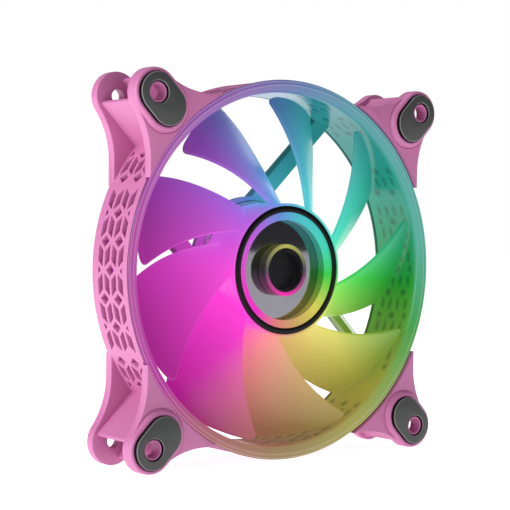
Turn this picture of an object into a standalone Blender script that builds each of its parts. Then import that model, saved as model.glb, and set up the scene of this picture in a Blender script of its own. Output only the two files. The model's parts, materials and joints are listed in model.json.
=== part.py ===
"""A 120 mm case fan with a lit rotor, built as an assembly of separate pieces.

The fan turns about the Y axis. Its intake side faces -Y, +X is to the right and +Z is up,
with the origin at the centre of the fan. All lengths are in metres.
"""
from math import cos, pi, radians, sin, sqrt

import bmesh
import bpy
from mathutils import Matrix, Vector

MM = 0.001

# ---- Driving dimensions -------------------------------------------------------------------
FAN_SIZE = 120 * MM
HOLE_PITCH = 105 * MM
HOLE_RADIUS = 2.15 * MM
GAP = 0.3 * MM                      # left between pieces that touch

# Depths along Y. The frame is 25 mm deep and its pads stand proud on both sides.
FRONT = -12.5 * MM                  # front of the corner bosses
REAR = 12.5 * MM
FLANGE_FRONT = -11.0 * MM           # front of the corner plates, round the bosses
FLANGE_BACK = -7.7 * MM
REAR_PLATE_FRONT = 9.2 * MM
PAD_PROUD = 1.1 * MM
PAD_POCKET = 0.8 * MM

# Outer frame
LUG_CENTRE = HOLE_PITCH / 2
LUG_RADIUS = FAN_SIZE / 2 - LUG_CENTRE
FLANK_X = 53.6 * MM                 # straight flank of a corner plate
FLANK_Z = (25.5 * MM, 33.0 * MM)
BAND_INNER, BAND_OUTER = 57.9 * MM, 59.7 * MM
BAND_FRONT, BAND_REAR = -8.6 * MM, 11.0 * MM
BAND_STEPS = 44                     # facets end between the rows of perforations
BAND_START = 0.5                    # degrees; keeps the facets' edges off the diamonds' corners
RIB_FACE, RIB_THICKNESS = 6.0 * MM, 1.5 * MM
RIB_END = 76.6 * MM                 # distance of a rib's free end from the fan's axis
RING_SEAT = 60.4 * MM               # recess in the corner plates for the duct's front ring

# Perforations: rows across the depth, at angles from the middle of each side
ROW_STEP = 4.17
CORNER_ROW = 27.7
PATTERN_MIDDLE = 0.8 * MM
CELL = 3.76 * MM                    # spacing of the slots along the depth
SLOT_WIDTH, SLOT_LENGTH, SLOT_SLANT = 2.9 * MM, 5.0 * MM, 0.8
DIAMOND_DEPTH, DIAMOND_HEIGHT = 4.5 * MM, 3.6 * MM

# Pads and the collars that stand in their holes
PAD_RADIUS = 6.0 * MM
PAD_TAIL = 48.8 * MM                # centre of a pad's inner end, on the corner's diagonal
PAD_HOLE = 3.4 * MM
BOSS_RADIUS = 7.4 * MM
COLLAR_RADIUS = 3.0 * MM
COLLAR_PROUD = 0.5 * MM
RELIEF_RADIUS, RELIEF_DEPTH = 3.3 * MM, 1.2 * MM    # wider bore behind the front lugs' holes

# Translucent duct: front ring, tube, struts and motor tray in one moulding
RING_OUTER = 60.0 * MM
RING_CREST, RING_FRONT = 58.6 * MM, -10.0 * MM
RING_BACK = BAND_FRONT - GAP
DUCT_BORE, DUCT_OUTER = 56.0 * MM, 57.2 * MM
DUCT_REAR = 12.2 * MM
MOUTH_END = -7.6 * MM               # where the bell mouth becomes the plain tube
STRUT_COUNT, STRUT_NORMAL = 4, 44.5
STRUT_INNER, STRUT_OUTER = 12.6 * MM, 17.9 * MM     # offsets of a strut's faces from the axis
STRUT_TOP_WIDTH = 2.0 * MM
STRUT_FRONT, STRUT_EDGE, STRUT_REAR = 8.2 * MM, 11.8 * MM, 12.4 * MM
TRAY_RADIUS, TRAY_WALL = 23.5 * MM, 1.2 * MM
TRAY_FRONT, TRAY_FLOOR, TRAY_LABEL_SEAT = 8.3 * MM, 11.1 * MM, 11.9 * MM
LABEL_RADIUS = 20.6 * MM

# Rotor
HUB_RADIUS, HUB_WALL = 21.2 * MM, 1.3 * MM
HUB_FRONT, HUB_REAR = -8.9 * MM, 7.0 * MM
HUB_WEB = (-2.2 * MM, -1.2 * MM)
HUB_RIM = 0.5 * MM                  # thin rim of the hub round the bezel
BLADE_COUNT = 9
BLADE_TIP = 54.6 * MM
BLADE_THICKNESS = 1.3 * MM
BLADE_FRONT = (104.2, 35.2, 0.72)   # angle at the hub, sweep to the tip, power of the sweep
BLADE_REAR = (77.5, 31.3, 0.80)
BLADE_FRONT_DEPTH = (-6.8 * MM, -8.2 * MM)          # at the hub, at the tip
BLADE_REAR_DEPTH = (1.5 * MM, 6.7 * MM)
BLADE_CAMBER = 1.2 * MM
BLADE_CORNER = 2.0 * MM             # rounding of the tip's front corner
BEZEL_INNER = 18.6 * MM
BEZEL_REAR = -8.6 * MM
LENS_RADIUS, LENS_FRONT, LENS_REAR = 19.6 * MM, -8.3 * MM, -7.9 * MM
WELL_FRONT, WELL_FLOOR = -7.6 * MM, -4.6 * MM
LIGHT_INNER, LIGHT_OUTER = 15.9 * MM, 19.4 * MM
TUBE_INNER, TUBE_OUTER = 7.05 * MM, 8.46 * MM
CUP_RADIUS, CUP_WALL = 6.75 * MM, 0.8 * MM

# Motor
SHAFT_RADIUS, SHAFT_FRONT, SHAFT_REAR = 1.5 * MM, -0.9 * MM, 9.0 * MM
GROOVE_RADIUS, GROOVE = 1.0 * MM, (7.7 * MM, 8.7 * MM)
BEARING_BORE, BEARING_OUTER, BEARING = 1.58 * MM, 3.4 * MM, (1.6 * MM, 7.4 * MM)
HOUSING_BORE, HOUSING_OUTER, HOUSING = 3.7 * MM, 4.6 * MM, (0.6 * MM, 10.8 * MM)
YOKE_OUTER, YOKE_WALL, YOKE = 19.5 * MM, 0.7 * MM, (-0.9 * MM, 6.6 * MM)
MAGNET = (17.2 * MM, 18.5 * MM)
MAGNET_DEPTH = (0.2 * MM, 6.2 * MM)
CORE_OUTER, CORE_SHOE, CORE_RING, CORE_BORE = 16.4 * MM, 14.2 * MM, 8.0 * MM, 4.9 * MM
CORE_DEPTH = (2.6 * MM, 4.4 * MM)
POLE_COUNT, POLE_WIDTH, SHOE_SPAN = 4, 5.0 * MM, 72.0
COIL_THICKNESS = 1.4 * MM
BOARD = (8.4 * MM, 9.2 * MM)
BOARD_OUTER, BOARD_INNER = 21.9 * MM, 5.2 * MM
LED_COUNT, LED_RADIUS = 8, 20.4 * MM
OUTLET_ANGLE = 225.0                # where the cable leaves the motor tray

CORNERS = ("top_right", "bottom_right", "bottom_left", "top_left")
ROUND_STEPS = 48
HUB_STEPS = 36
MIDDLE_STEPS = 32
SMALL_STEPS = 20

# ---- Scene helpers ------------------------------------------------------------------------
for old in list(bpy.data.objects):
    bpy.data.objects.remove(old)

FAN = bpy.data.collections.new("case_fan")
TOOLS = bpy.data.collections.new("cutters")
for group in (FAN, TOOLS):
    bpy.context.scene.collection.children.link(group)

# The axis lies along Y: local +Z of a turned or flat piece looks to the front, local +Y is up.
FACE_FRONT = Matrix.Rotation(radians(90), 4, "X")


def material(name, colour, roughness, metallic=0.0, alpha=1.0):
    """One Principled material; colour is linear RGB."""
    mat = bpy.data.materials.new(name)
    mat.use_nodes = True
    shader = mat.node_tree.nodes["Principled BSDF"]
    shader.inputs["Base Color"].default_value = (*colour, 1.0)
    shader.inputs["Roughness"].default_value = roughness
    shader.inputs["Metallic"].default_value = metallic
    shader.inputs["Alpha"].default_value = alpha
    return mat


PINK = material("frame_pink", (0.68, 0.26, 0.50), 0.45)
RUBBER = material("pad_rubber", (0.05, 0.055, 0.05), 0.35)
DUCT = material("duct_clear", (0.55, 0.68, 0.72), 0.25, alpha=0.45)
FROST = material("rotor_frost", (0.80, 0.55, 0.80), 0.35, alpha=0.8)
BLACK = material("gloss_black", (0.01, 0.01, 0.01), 0.2)
SMOKE = material("smoked_mirror", (0.05, 0.05, 0.07), 0.05, alpha=0.3)
DIFFUSER = material("light_diffuser", (0.75, 0.75, 0.80), 0.3)
MIRROR = material("dark_mirror", (0.08, 0.08, 0.10), 0.05, metallic=1.0)
STEEL = material("plated_steel", (0.55, 0.55, 0.56), 0.3, metallic=1.0)
LAMINATION = material("lamination_steel", (0.35, 0.35, 0.37), 0.45, metallic=1.0)
FERRITE = material("ferrite", (0.04, 0.04, 0.045), 0.6)
BRASS = material("brass", (0.70, 0.50, 0.22), 0.3, metallic=1.0)
BRONZE = material("sintered_bronze", (0.50, 0.30, 0.14), 0.55, metallic=1.0)
NYLON = material("nylon", (0.75, 0.74, 0.68), 0.5)
COPPER = material("enamelled_copper", (0.62, 0.26, 0.10), 0.35, metallic=1.0)
BOARD_GREEN = material("board_lacquer", (0.02, 0.13, 0.05), 0.35)
LED_WHITE = material("led_package", (0.85, 0.85, 0.80), 0.4)
EPOXY = material("chip_epoxy", (0.02, 0.02, 0.022), 0.5)
STICKER = material("blank_sticker", (0.62, 0.62, 0.64), 0.4)


def add(name, mesh, mat=None, matrix=None, tool=False):
    """Link a mesh as a piece of the fan, or as a hidden cutter."""
    obj = bpy.data.objects.new(name, mesh)
    (TOOLS if tool else FAN).objects.link(obj)
    if mat:
        mesh.materials.append(mat)
    if matrix:
        obj.matrix_world = matrix
    if tool:
        obj.hide_render = True
        obj.display_type = "WIRE"
    return obj


def turned(name, profile, mat=None, steps=SMALL_STEPS, tool=False, start=0.0):
    """Turn (radius, depth) points about Y, from the front, down the outside and back.

    The first facet starts at the angle start, in radians from +X.
    """
    mesh = bpy.data.meshes.new(name)
    count = len(profile)
    on_axis = profile[0][0] == 0
    edges = [(i, (i + 1) % count) for i in range(count - 1 if on_axis else count)]
    points = [(radius * cos(start), radius * sin(start), -depth) for radius, depth in profile]
    mesh.from_pydata(points, edges, [])
    obj = add(name, mesh, mat, FACE_FRONT, tool)
    screw = obj.modifiers.new("turn", "SCREW")
    screw.axis = "Z"
    screw.steps = screw.render_steps = steps
    screw.use_merge_vertices = True
    screw.merge_threshold = 0.00001
    screw.use_smooth_shade = True
    return obj


def ring(name, inner, outer, front, rear, mat=None, steps=SMALL_STEPS, tool=False):
    """A plain washer or tube."""
    loop = [(inner, front), (outer, front), (outer, rear), (inner, rear)]
    return turned(name, loop, mat, steps, tool)


def disc(name, radius, front, rear, mat=None, steps=SMALL_STEPS, tool=False):
    """A plain round plate."""
    return turned(name, [(0, front), (radius, front), (radius, rear), (0, rear)], mat, steps, tool)


def plain_mesh(obj):
    """Replace a curve object by a welded mesh object of the same name and place."""
    graph = bpy.context.evaluated_depsgraph_get()
    mesh = bpy.data.meshes.new_from_object(obj.evaluated_get(graph))
    work = bmesh.new()
    work.from_mesh(mesh)
    bmesh.ops.remove_doubles(work, verts=work.verts, dist=0.000001)
    bmesh.ops.recalc_face_normals(work, faces=work.faces)
    work.to_mesh(mesh)
    work.free()
    name, place, tool = obj.name, obj.matrix_world.copy(), obj.name in TOOLS.objects
    bpy.data.objects.remove(obj)
    return add(name, mesh, None, place, tool)


def flat(name, outlines, front, rear, mat=None, turn=0.0, tool=False):
    """A flat piece: closed (x, z) outlines, holes included, extruded along Y, turned about Y."""
    curve = bpy.data.curves.new(name, "CURVE")
    curve.dimensions = "2D"
    curve.fill_mode = "BOTH"
    curve.extrude = (rear - front) / 2
    for outline in outlines:
        spline = curve.splines.new("POLY")
        spline.points.add(len(outline) - 1)
        for point, (x, z) in zip(spline.points, outline):
            point.co = (x, z, 0, 1)
        spline.use_cyclic_u = True
    obj = bpy.data.objects.new(name, curve)
    (TOOLS if tool else FAN).objects.link(obj)
    middle = Matrix.Translation((0, (front + rear) / 2, 0))
    obj.matrix_world = Matrix.Rotation(turn, 4, "Y") @ middle @ FACE_FRONT
    bpy.context.view_layer.update()
    obj = plain_mesh(obj)
    if mat:
        obj.data.materials.append(mat)
    return obj


def blocks(name, matrices, mat=None, tool=False):
    """Unit cubes placed and shaped by matrices, as separate solids of one mesh."""
    work = bmesh.new()
    for matrix in matrices:
        bmesh.ops.create_cube(work, size=1.0, matrix=matrix)
    bmesh.ops.recalc_face_normals(work, faces=work.faces)
    mesh = bpy.data.meshes.new(name)
    work.to_mesh(mesh)
    work.free()
    return add(name, mesh, mat, None, tool)


def boolean(obj, operation, operands):
    """Add one exact Boolean whose operands sit in a collection of their own."""
    group = bpy.data.collections.new(f"{obj.name}_{operation.lower()}_{len(obj.modifiers)}")
    TOOLS.children.link(group)
    for operand in operands:
        for holder in operand.users_collection:
            holder.objects.unlink(operand)
        group.objects.link(operand)
    modifier = obj.modifiers.new(operation.lower(), "BOOLEAN")
    modifier.operation = operation
    modifier.operand_type = "COLLECTION"
    modifier.collection = group
    modifier.solver = "EXACT"


def merge_flat_faces(obj):
    """Dissolve the edges that the Booleans leave across flat faces."""
    modifier = obj.modifiers.new("flat", "DECIMATE")
    modifier.decimate_type = "DISSOLVE"
    modifier.angle_limit = radians(0.2)


def radial_place(angle, radius, depth):
    """A frame at an angle about Y: X points outwards, Y along the axis, Z round the fan."""
    outward = Vector((cos(angle), 0, sin(angle)))
    around = Vector((-sin(angle), 0, cos(angle)))
    turn = Matrix((outward, Vector((0, 1, 0)), around)).transposed().to_4x4()
    return Matrix.Translation(outward * radius + Vector((0, depth, 0))) @ turn


def arc(centre, radius, start, end, count):
    """Points on an arc in the (x, z) plane, both ends included; angles in degrees."""
    steps = [radians(start + (end - start) * i / count) for i in range(count + 1)]
    return [(centre[0] + radius * cos(a), centre[1] + radius * sin(a)) for a in steps]


def stadium(radius, tail, count=7):
    """A slot outline round a corner's hole, with its inner end nearer the fan's axis."""
    outer = arc((LUG_CENTRE, LUG_CENTRE), radius, -45, 135, count)
    return outer + arc((tail, tail), radius, 135, 315, count)


# ---- Outer frame --------------------------------------------------------------------------
def corner_outline():
    """Corner plate of the top right corner: flanks, concave fillets and the round lug."""
    lead = FLANK_X - LUG_CENTRE
    drop = LUG_CENTRE - FLANK_Z[1]
    fillet = (drop**2 + lead**2 - LUG_RADIUS**2) / (2 * (LUG_RADIUS - lead))
    centre = Vector((FLANK_X + fillet, FLANK_Z[1]))
    lug = Vector((LUG_CENTRE, LUG_CENTRE))
    touch = (lug - centre).angle_signed(Vector((-1, 0)))
    touch = abs(touch) * 180 / pi
    flank = [(FLANK_X, FLANK_Z[0])]
    hollow = arc(centre, fillet, 180, 180 - touch, 5)
    half_lug = arc(lug, LUG_RADIUS, -touch, 45, 6)
    side = flank + hollow + half_lug[1:]
    mirrored = [(z, x) for x, z in reversed(side[:-1])]
    seat = (BAND_INNER + BAND_OUTER) / 2
    inner = arc((0, 0), seat, 64.6, 25.4, 5)
    return side + mirrored + inner


def perforation_cutter():
    """Every slot and diamond of the band as one mesh of prisms."""
    wall = (BAND_INNER + BAND_OUTER) / 2
    through = 6 * MM
    diamond = (Matrix.Diagonal((through, DIAMOND_DEPTH, DIAMOND_HEIGHT, 1))
               @ Matrix.Rotation(radians(45), 4, "X") @ Matrix.Scale(sqrt(0.5), 4))
    diamond = diamond @ Matrix.Diagonal((sqrt(2), 1, 1, 1))
    slot_size = Matrix.Diagonal((through, SLOT_WIDTH, SLOT_LENGTH, 1))

    def slot(lean):
        shear = Matrix.Identity(4)
        shear[2][1] = lean * SLOT_SLANT
        return shear @ slot_size

    rows = [(0, "one")]
    for sign in (-1, 1):
        rows += [(sign * ROW_STEP * i, kind) for i, kind in
                 enumerate(("slots", "two", "slots", "one", "slots"), start=1)]
        rows += [(sign * (CORNER_ROW + ROW_STEP * i), kind) for i, kind in
                 enumerate(("two", "slots", "one"))]
    placed = []
    for side in range(4):
        for angle, kind in rows:
            about = radians(90 * side + angle)
            if kind == "slots":
                # the ends lean along the edges of the diamonds above and below
                towards_one = 1 if (abs(angle) < ROW_STEP * 1.5 or
                                    ROW_STEP * 4.5 < abs(angle)) else -1
                lean_side = towards_one if angle > 0 else -towards_one
                if abs(angle) > CORNER_ROW:
                    lean_side = -lean_side
                cells = [((i - 1.5) * CELL, slot(lean_side * (1 if i % 2 else -1)))
                         for i in range(4)]
            elif kind == "two":
                cells = [(offset * CELL, diamond) for offset in (-1, 1)]
            else:
                cells = [(0, diamond)]
            placed += [radial_place(about, wall, PATTERN_MIDDLE + offset) @ shape
                       for offset, shape in cells]
    return blocks("perforations", placed, tool=True)


def make_frame():
    """Pink moulding: perforated band, corner plates with lugs, bosses, collars and ribs."""
    frame = turned("frame", [(BAND_INNER, BAND_FRONT), (BAND_OUTER, BAND_FRONT),
                             (BAND_OUTER, BAND_REAR), (BAND_INNER, BAND_REAR)],
                   PINK, BAND_STEPS, start=radians(BAND_START))
    plates, cuts, collars, holes = [], [perforation_cutter()], [], []
    outline = corner_outline()
    rib_start = (BAND_INNER + BAND_OUTER) / 2 - 0.3 * MM
    for corner in range(4):
        turn = radians(90 * corner)
        tag = CORNERS[corner]
        plates.append(flat(f"plate_front_{tag}", [outline], FLANGE_FRONT, FLANGE_BACK,
                           turn=turn, tool=True))
        plates.append(flat(f"plate_rear_{tag}", [outline], REAR_PLATE_FRONT, REAR,
                           turn=turn, tool=True))
        plates.append(flat(f"boss_{tag}", [stadium(BOSS_RADIUS, PAD_TAIL)], FRONT,
                           FLANGE_FRONT + MM, turn=turn, tool=True))
        diagonal = radians(45 + 90 * corner)
        length = RIB_END - rib_start
        depth = REAR_PLATE_FRONT - FLANGE_BACK + 0.8 * MM
        middle = (REAR_PLATE_FRONT + FLANGE_BACK) / 2
        ribs = []
        for side in (-1, 1):
            place = radial_place(diagonal, rib_start + length / 2, middle)
            shift = Matrix.Translation((0, 0, side * (RIB_FACE - RIB_THICKNESS / 2)))
            ribs.append(place @ shift @ Matrix.Diagonal((length, depth, RIB_THICKNESS, 1)))
        plates.append(blocks(f"ribs_{tag}", ribs, tool=True))

        pocket = [stadium(PAD_RADIUS + GAP, PAD_TAIL)]
        cuts.append(flat(f"pocket_front_{tag}", pocket, FRONT - MM, FRONT + PAD_POCKET,
                         turn=turn, tool=True))
        cuts.append(flat(f"pocket_rear_{tag}", pocket, REAR - PAD_POCKET, REAR + MM,
                         turn=turn, tool=True))
        collar = [arc((LUG_CENTRE, LUG_CENTRE), COLLAR_RADIUS, 0, 337.5, 15)]
        collars.append(flat(f"collar_front_{tag}", collar, FRONT - COLLAR_PROUD,
                            FLANGE_FRONT + MM, turn=turn, tool=True))
        collars.append(flat(f"collar_rear_{tag}", collar, REAR - 2 * MM, REAR + COLLAR_PROUD,
                            turn=turn, tool=True))
        hole = [arc((LUG_CENTRE, LUG_CENTRE), HOLE_RADIUS, 15, 345, 11)]
        holes.append(flat(f"hole_{tag}", hole, FRONT - 2 * MM, REAR + 2 * MM,
                          turn=turn, tool=True))
        relief = [arc((LUG_CENTRE, LUG_CENTRE), RELIEF_RADIUS, 0, 337.5, 15)]
        cuts.append(flat(f"relief_{tag}", relief, FLANGE_BACK - RELIEF_DEPTH, FLANGE_BACK + MM,
                         turn=turn, tool=True))
    cuts.append(disc("ring_seat", RING_SEAT, FRONT - MM, BAND_FRONT, steps=ROUND_STEPS, tool=True))
    boolean(frame, "UNION", plates)
    boolean(frame, "DIFFERENCE", cuts)
    boolean(frame, "UNION", collars)
    boolean(frame, "DIFFERENCE", holes)
    merge_flat_faces(frame)
    return [frame]


def make_pads():
    """Eight rubber pads, one in each pocket, with a clear hole round the screw collar."""
    pads = []
    hole = arc((LUG_CENTRE, LUG_CENTRE), PAD_HOLE, 0, 337.5, 15)
    for corner in range(4):
        turn = radians(90 * corner)
        for side, front, rear in (
                ("front", FRONT - PAD_PROUD, FRONT + PAD_POCKET - GAP),
                ("rear", REAR - PAD_POCKET + GAP, REAR + PAD_PROUD)):
            pads.append(flat(f"{side}_pad_{CORNERS[corner]}",
                             [stadium(PAD_RADIUS, PAD_TAIL), hole], front, rear, RUBBER, turn))
    return pads


# ---- Duct ---------------------------------------------------------------------------------
def make_duct():
    """Translucent moulding: front ring with a bell mouth, tube, four struts and motor tray."""
    mouth = [radians(90 * i / 4) for i in range(5)]
    rise = MOUTH_END - RING_FRONT
    inside = [(RING_CREST - (RING_CREST - DUCT_BORE) * cos(a), MOUTH_END - rise * sin(a))
              for a in mouth]
    outside = [(RING_OUTER - 0.4 * MM, RING_FRONT + 0.15 * MM), (RING_OUTER, RING_FRONT + 0.6 * MM),
               (RING_OUTER, RING_BACK), (DUCT_OUTER, RING_BACK), (DUCT_OUTER, DUCT_REAR),
               (DUCT_BORE, DUCT_REAR)]
    duct = turned("inner_duct", outside + inside, DUCT, ROUND_STEPS)

    section = [(STRUT_INNER, STRUT_REAR), (STRUT_INNER, STRUT_FRONT),
               (STRUT_INNER + STRUT_TOP_WIDTH, STRUT_FRONT), (STRUT_OUTER, STRUT_EDGE),
               (STRUT_OUTER, STRUT_REAR)]
    start, end = 13 * MM, DUCT_OUTER
    work = bmesh.new()
    for k in range(STRUT_COUNT):
        normal = radians(STRUT_NORMAL + 90 * k)
        outward = Vector((cos(normal), 0, sin(normal)))
        along = Vector((sin(normal), 0, -cos(normal)))
        corners = [work.verts.new(outward * u + Vector((0, depth, 0)) + along * start)
                   for u, depth in section]
        face = work.faces.new(corners)
        moved = bmesh.ops.extrude_face_region(work, geom=[face])["geom"]
        bmesh.ops.translate(work, vec=along * (end - start),
                            verts=[v for v in moved if isinstance(v, bmesh.types.BMVert)])
    bmesh.ops.recalc_face_normals(work, faces=work.faces)
    mesh = bpy.data.meshes.new("struts")
    work.to_mesh(mesh)
    work.free()
    struts = add("struts", mesh, None, None, tool=True)
    in_front = TRAY_FRONT - 2 * MM
    clearance = disc("tray_clearance", TRAY_RADIUS - TRAY_WALL / 2, in_front, REAR + MM,
                     steps=MIDDLE_STEPS, tool=True)
    reach = disc("strut_reach", (DUCT_BORE + DUCT_OUTER) / 2 + 0.1 * MM, in_front, REAR + MM,
                 steps=ROUND_STEPS, tool=True)
    boolean(struts, "DIFFERENCE", [clearance])
    boolean(struts, "INTERSECT", [reach])
    wall = TRAY_RADIUS - TRAY_WALL
    socket = HOUSING_OUTER + GAP
    tray = turned("tray", [
        (0, TRAY_FLOOR), (socket, TRAY_FLOOR), (socket, TRAY_FLOOR - 1.2 * MM),
        (socket + MM, TRAY_FLOOR - 1.2 * MM), (socket + MM, TRAY_FLOOR), (wall, TRAY_FLOOR),
        (wall, TRAY_FRONT), (TRAY_RADIUS, TRAY_FRONT), (TRAY_RADIUS, STRUT_REAR),
        (LABEL_RADIUS + GAP, STRUT_REAR), (LABEL_RADIUS + GAP, TRAY_LABEL_SEAT),
        (0, TRAY_LABEL_SEAT)], steps=MIDDLE_STEPS, tool=True)
    boolean(duct, "UNION", [struts])
    boolean(duct, "UNION", [tray])

    slot = radial_place(radians(OUTLET_ANGLE), TRAY_RADIUS - TRAY_WALL / 2, TRAY_FRONT)
    notch = slot @ Matrix.Diagonal((4 * MM, 4.8 * MM, 5.4 * MM, 1))
    boolean(duct, "DIFFERENCE", [blocks("outlet_notch", [notch], tool=True)])
    merge_flat_faces(duct)

    label = disc("rear_label", LABEL_RADIUS, TRAY_LABEL_SEAT + GAP, STRUT_REAR, STICKER, MIDDLE_STEPS)
    return [duct, label, make_grommet(slot)]


def make_grommet(slot):
    """Rubber grommet in the tray's notch, with the round way out for the cable."""
    body = slot @ Matrix.Translation((0.4 * MM, 1.2 * MM, 0)) @ Matrix.Diagonal(
        (2.0 * MM, 1.8 * MM, 4.8 * MM, 1))
    grommet = blocks("cable_grommet", [body], RUBBER)
    work = bmesh.new()
    bmesh.ops.create_cone(
        work, cap_ends=True, segments=12, radius1=0.6 * MM, radius2=0.6 * MM, depth=6 * MM,
        matrix=slot @ Matrix.Translation((0, 1.2 * MM, 0)) @ Matrix.Rotation(radians(90), 4, "Y"))
    mesh = bpy.data.meshes.new("grommet_bore")
    work.to_mesh(mesh)
    work.free()
    boolean(grommet, "DIFFERENCE", [add("grommet_bore", mesh, None, None, tool=True)])
    return grommet


# ---- Rotor --------------------------------------------------------------------------------
def swept(edge, s):
    """Angle of a blade's edge at a share s of the way from the hub to the tip, in radians."""
    start, sweep, power = edge
    return radians(start + sweep * max(s, 0)**power)


def blade_point(r, t):
    """A point of the blade's middle surface at radius r and chord share t, front to rear."""
    s = (r - HUB_RADIUS) / (BLADE_TIP - HUB_RADIUS)
    front_depth = BLADE_FRONT_DEPTH[0] + (BLADE_FRONT_DEPTH[1] - BLADE_FRONT_DEPTH[0]) * max(s, 0)
    rise = sin(pi / 2 * min(max(s, 0) / 0.6, 1))
    rear_depth = BLADE_REAR_DEPTH[0] + (BLADE_REAR_DEPTH[1] - BLADE_REAR_DEPTH[0]) * rise
    angle = swept(BLADE_FRONT, s) * (1 - t) + swept(BLADE_REAR, s) * t
    depth = front_depth * (1 - t) + rear_depth * t - BLADE_CAMBER * 4 * t * (1 - t)
    return Vector((r * cos(angle), depth, r * sin(angle)))


def make_impeller():
    """Hub shell with its web and shaft socket, joined with nine swept blades."""
    wall = HUB_RADIUS - HUB_WALL
    rim = HUB_RADIUS - HUB_RIM
    socket = 3.3 * MM
    impeller = turned("impeller", [
        (0, HUB_WEB[0]), (wall, HUB_WEB[0]), (wall, BEZEL_REAR + GAP), (rim, BEZEL_REAR + GAP),
        (rim, HUB_FRONT), (HUB_RADIUS - 0.2 * MM, HUB_FRONT), (HUB_RADIUS, HUB_FRONT + 0.3 * MM),
        (HUB_RADIUS, HUB_REAR), (wall, HUB_REAR), (wall, HUB_WEB[1]),
        (socket + 1.2 * MM, HUB_WEB[1]), (socket + 1.2 * MM, 0.2 * MM), (socket, 0.2 * MM),
        (socket, HUB_WEB[1]), (0, HUB_WEB[1])], FROST, HUB_STEPS)

    across, along = 5, 7
    root = HUB_RADIUS - 0.7 * MM
    work = bmesh.new()
    for k in range(BLADE_COUNT):
        grid = bmesh.ops.create_grid(work, x_segments=across, y_segments=along, size=0.5)
        turn = Matrix.Rotation(-2 * pi * k / BLADE_COUNT, 4, "Y")
        for vert in grid["verts"]:
            t, s = vert.co.x + 0.5, vert.co.y + 0.5
            t = t**1.3
            near = max(0, 1 - t * 12 * MM / BLADE_CORNER)
            reach = BLADE_TIP - BLADE_CORNER * (1 - sqrt(1 - near**2)) - root
            vert.co = turn @ blade_point(root + reach * s, t)
    bmesh.ops.recalc_face_normals(work, faces=work.faces)
    mesh = bpy.data.meshes.new("blades")
    work.to_mesh(mesh)
    work.free()
    blades = add("blades", mesh, None, None, tool=True)
    skin = blades.modifiers.new("thickness", "SOLIDIFY")
    skin.thickness = BLADE_THICKNESS
    skin.offset = 0
    boolean(impeller, "UNION", [blades])
    return impeller


def make_hub_face():
    """Infinity mirror in the hub: bezel, half mirror, light ring, back mirror and centre."""
    bezel = ring("bezel_ring", BEZEL_INNER, HUB_RADIUS - HUB_RIM - GAP, HUB_FRONT - 0.1 * MM,
                 BEZEL_REAR, BLACK, HUB_STEPS)
    lens = disc("mirror_lens", LENS_RADIUS, LENS_FRONT, LENS_REAR, SMOKE, HUB_STEPS)
    light = ring("light_ring", LIGHT_INNER, LIGHT_OUTER, WELL_FRONT, WELL_FLOOR, DIFFUSER, HUB_STEPS)
    floor = ring("back_mirror", CUP_RADIUS, LIGHT_OUTER, WELL_FLOOR + GAP, WELL_FLOOR + 0.8 * MM,
                 MIRROR, HUB_STEPS)
    tube = ring("centre_tube", TUBE_INNER, TUBE_OUTER, WELL_FRONT, WELL_FLOOR, DIFFUSER, MIDDLE_STEPS)
    inside = CUP_RADIUS - CUP_WALL
    bottom = WELL_FLOOR - 0.5 * MM
    cup = turned("centre_cup", [
        (0, bottom), (inside, bottom), (inside, WELL_FRONT), (CUP_RADIUS, WELL_FRONT),
        (CUP_RADIUS, WELL_FLOOR), (0, WELL_FLOOR)], BLACK, MIDDLE_STEPS)
    return [bezel, lens, light, floor, tube, cup]


def make_shaft_group():
    """Yoke with its ring magnet, and the shaft with its insert and retaining clip."""
    inner = YOKE_OUTER - YOKE_WALL
    hole = 4.8 * MM
    yoke = turned("rotor_yoke", [
        (hole, YOKE[0]), (YOKE_OUTER, YOKE[0]), (YOKE_OUTER, YOKE[1]), (inner, YOKE[1]),
        (inner, YOKE[0] + YOKE_WALL), (hole, YOKE[0] + YOKE_WALL)], STEEL, MIDDLE_STEPS)
    magnet = ring("ring_magnet", *MAGNET, *MAGNET_DEPTH, FERRITE, MIDDLE_STEPS)
    shaft = turned("shaft", [
        (0, SHAFT_FRONT), (SHAFT_RADIUS, SHAFT_FRONT), (SHAFT_RADIUS, GROOVE[0]),
        (GROOVE_RADIUS, GROOVE[0]), (GROOVE_RADIUS, GROOVE[1]), (SHAFT_RADIUS, GROOVE[1]),
        (0, SHAFT_REAR)], STEEL)
    insert = ring("shaft_insert", SHAFT_RADIUS + GAP, 3.0 * MM, SHAFT_FRONT, 0.1 * MM, BRASS)
    clip = ring("retaining_clip", GROOVE_RADIUS + GAP, 2.8 * MM, GROOVE[0] + GAP,
                GROOVE[1] - GAP, NYLON)
    return [yoke, magnet, shaft, insert, clip]


# ---- Bearing, stator and driver board -----------------------------------------------------
def make_bearing():
    """Brass housing in the tray's socket, with the sleeve, seal and thrust pad inside it."""
    floor = HOUSING[1] - 0.5 * MM
    housing = turned("bearing_housing", [
        (0, floor), (HOUSING_BORE, floor), (HOUSING_BORE, HOUSING[0]), (HOUSING_OUTER, HOUSING[0]),
        (HOUSING_OUTER, HOUSING[1]), (0, HOUSING[1])], BRASS)
    sleeve = ring("sleeve_bearing", BEARING_BORE, BEARING_OUTER, *BEARING, BRONZE)
    seal = ring("oil_seal", 1.9 * MM, BEARING_OUTER, 0.9 * MM, BEARING[0] - GAP, RUBBER)
    pad = disc("thrust_pad", 3.2 * MM, SHAFT_REAR + GAP, floor - GAP, NYLON)
    return [housing, sleeve, seal, pad]


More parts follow.
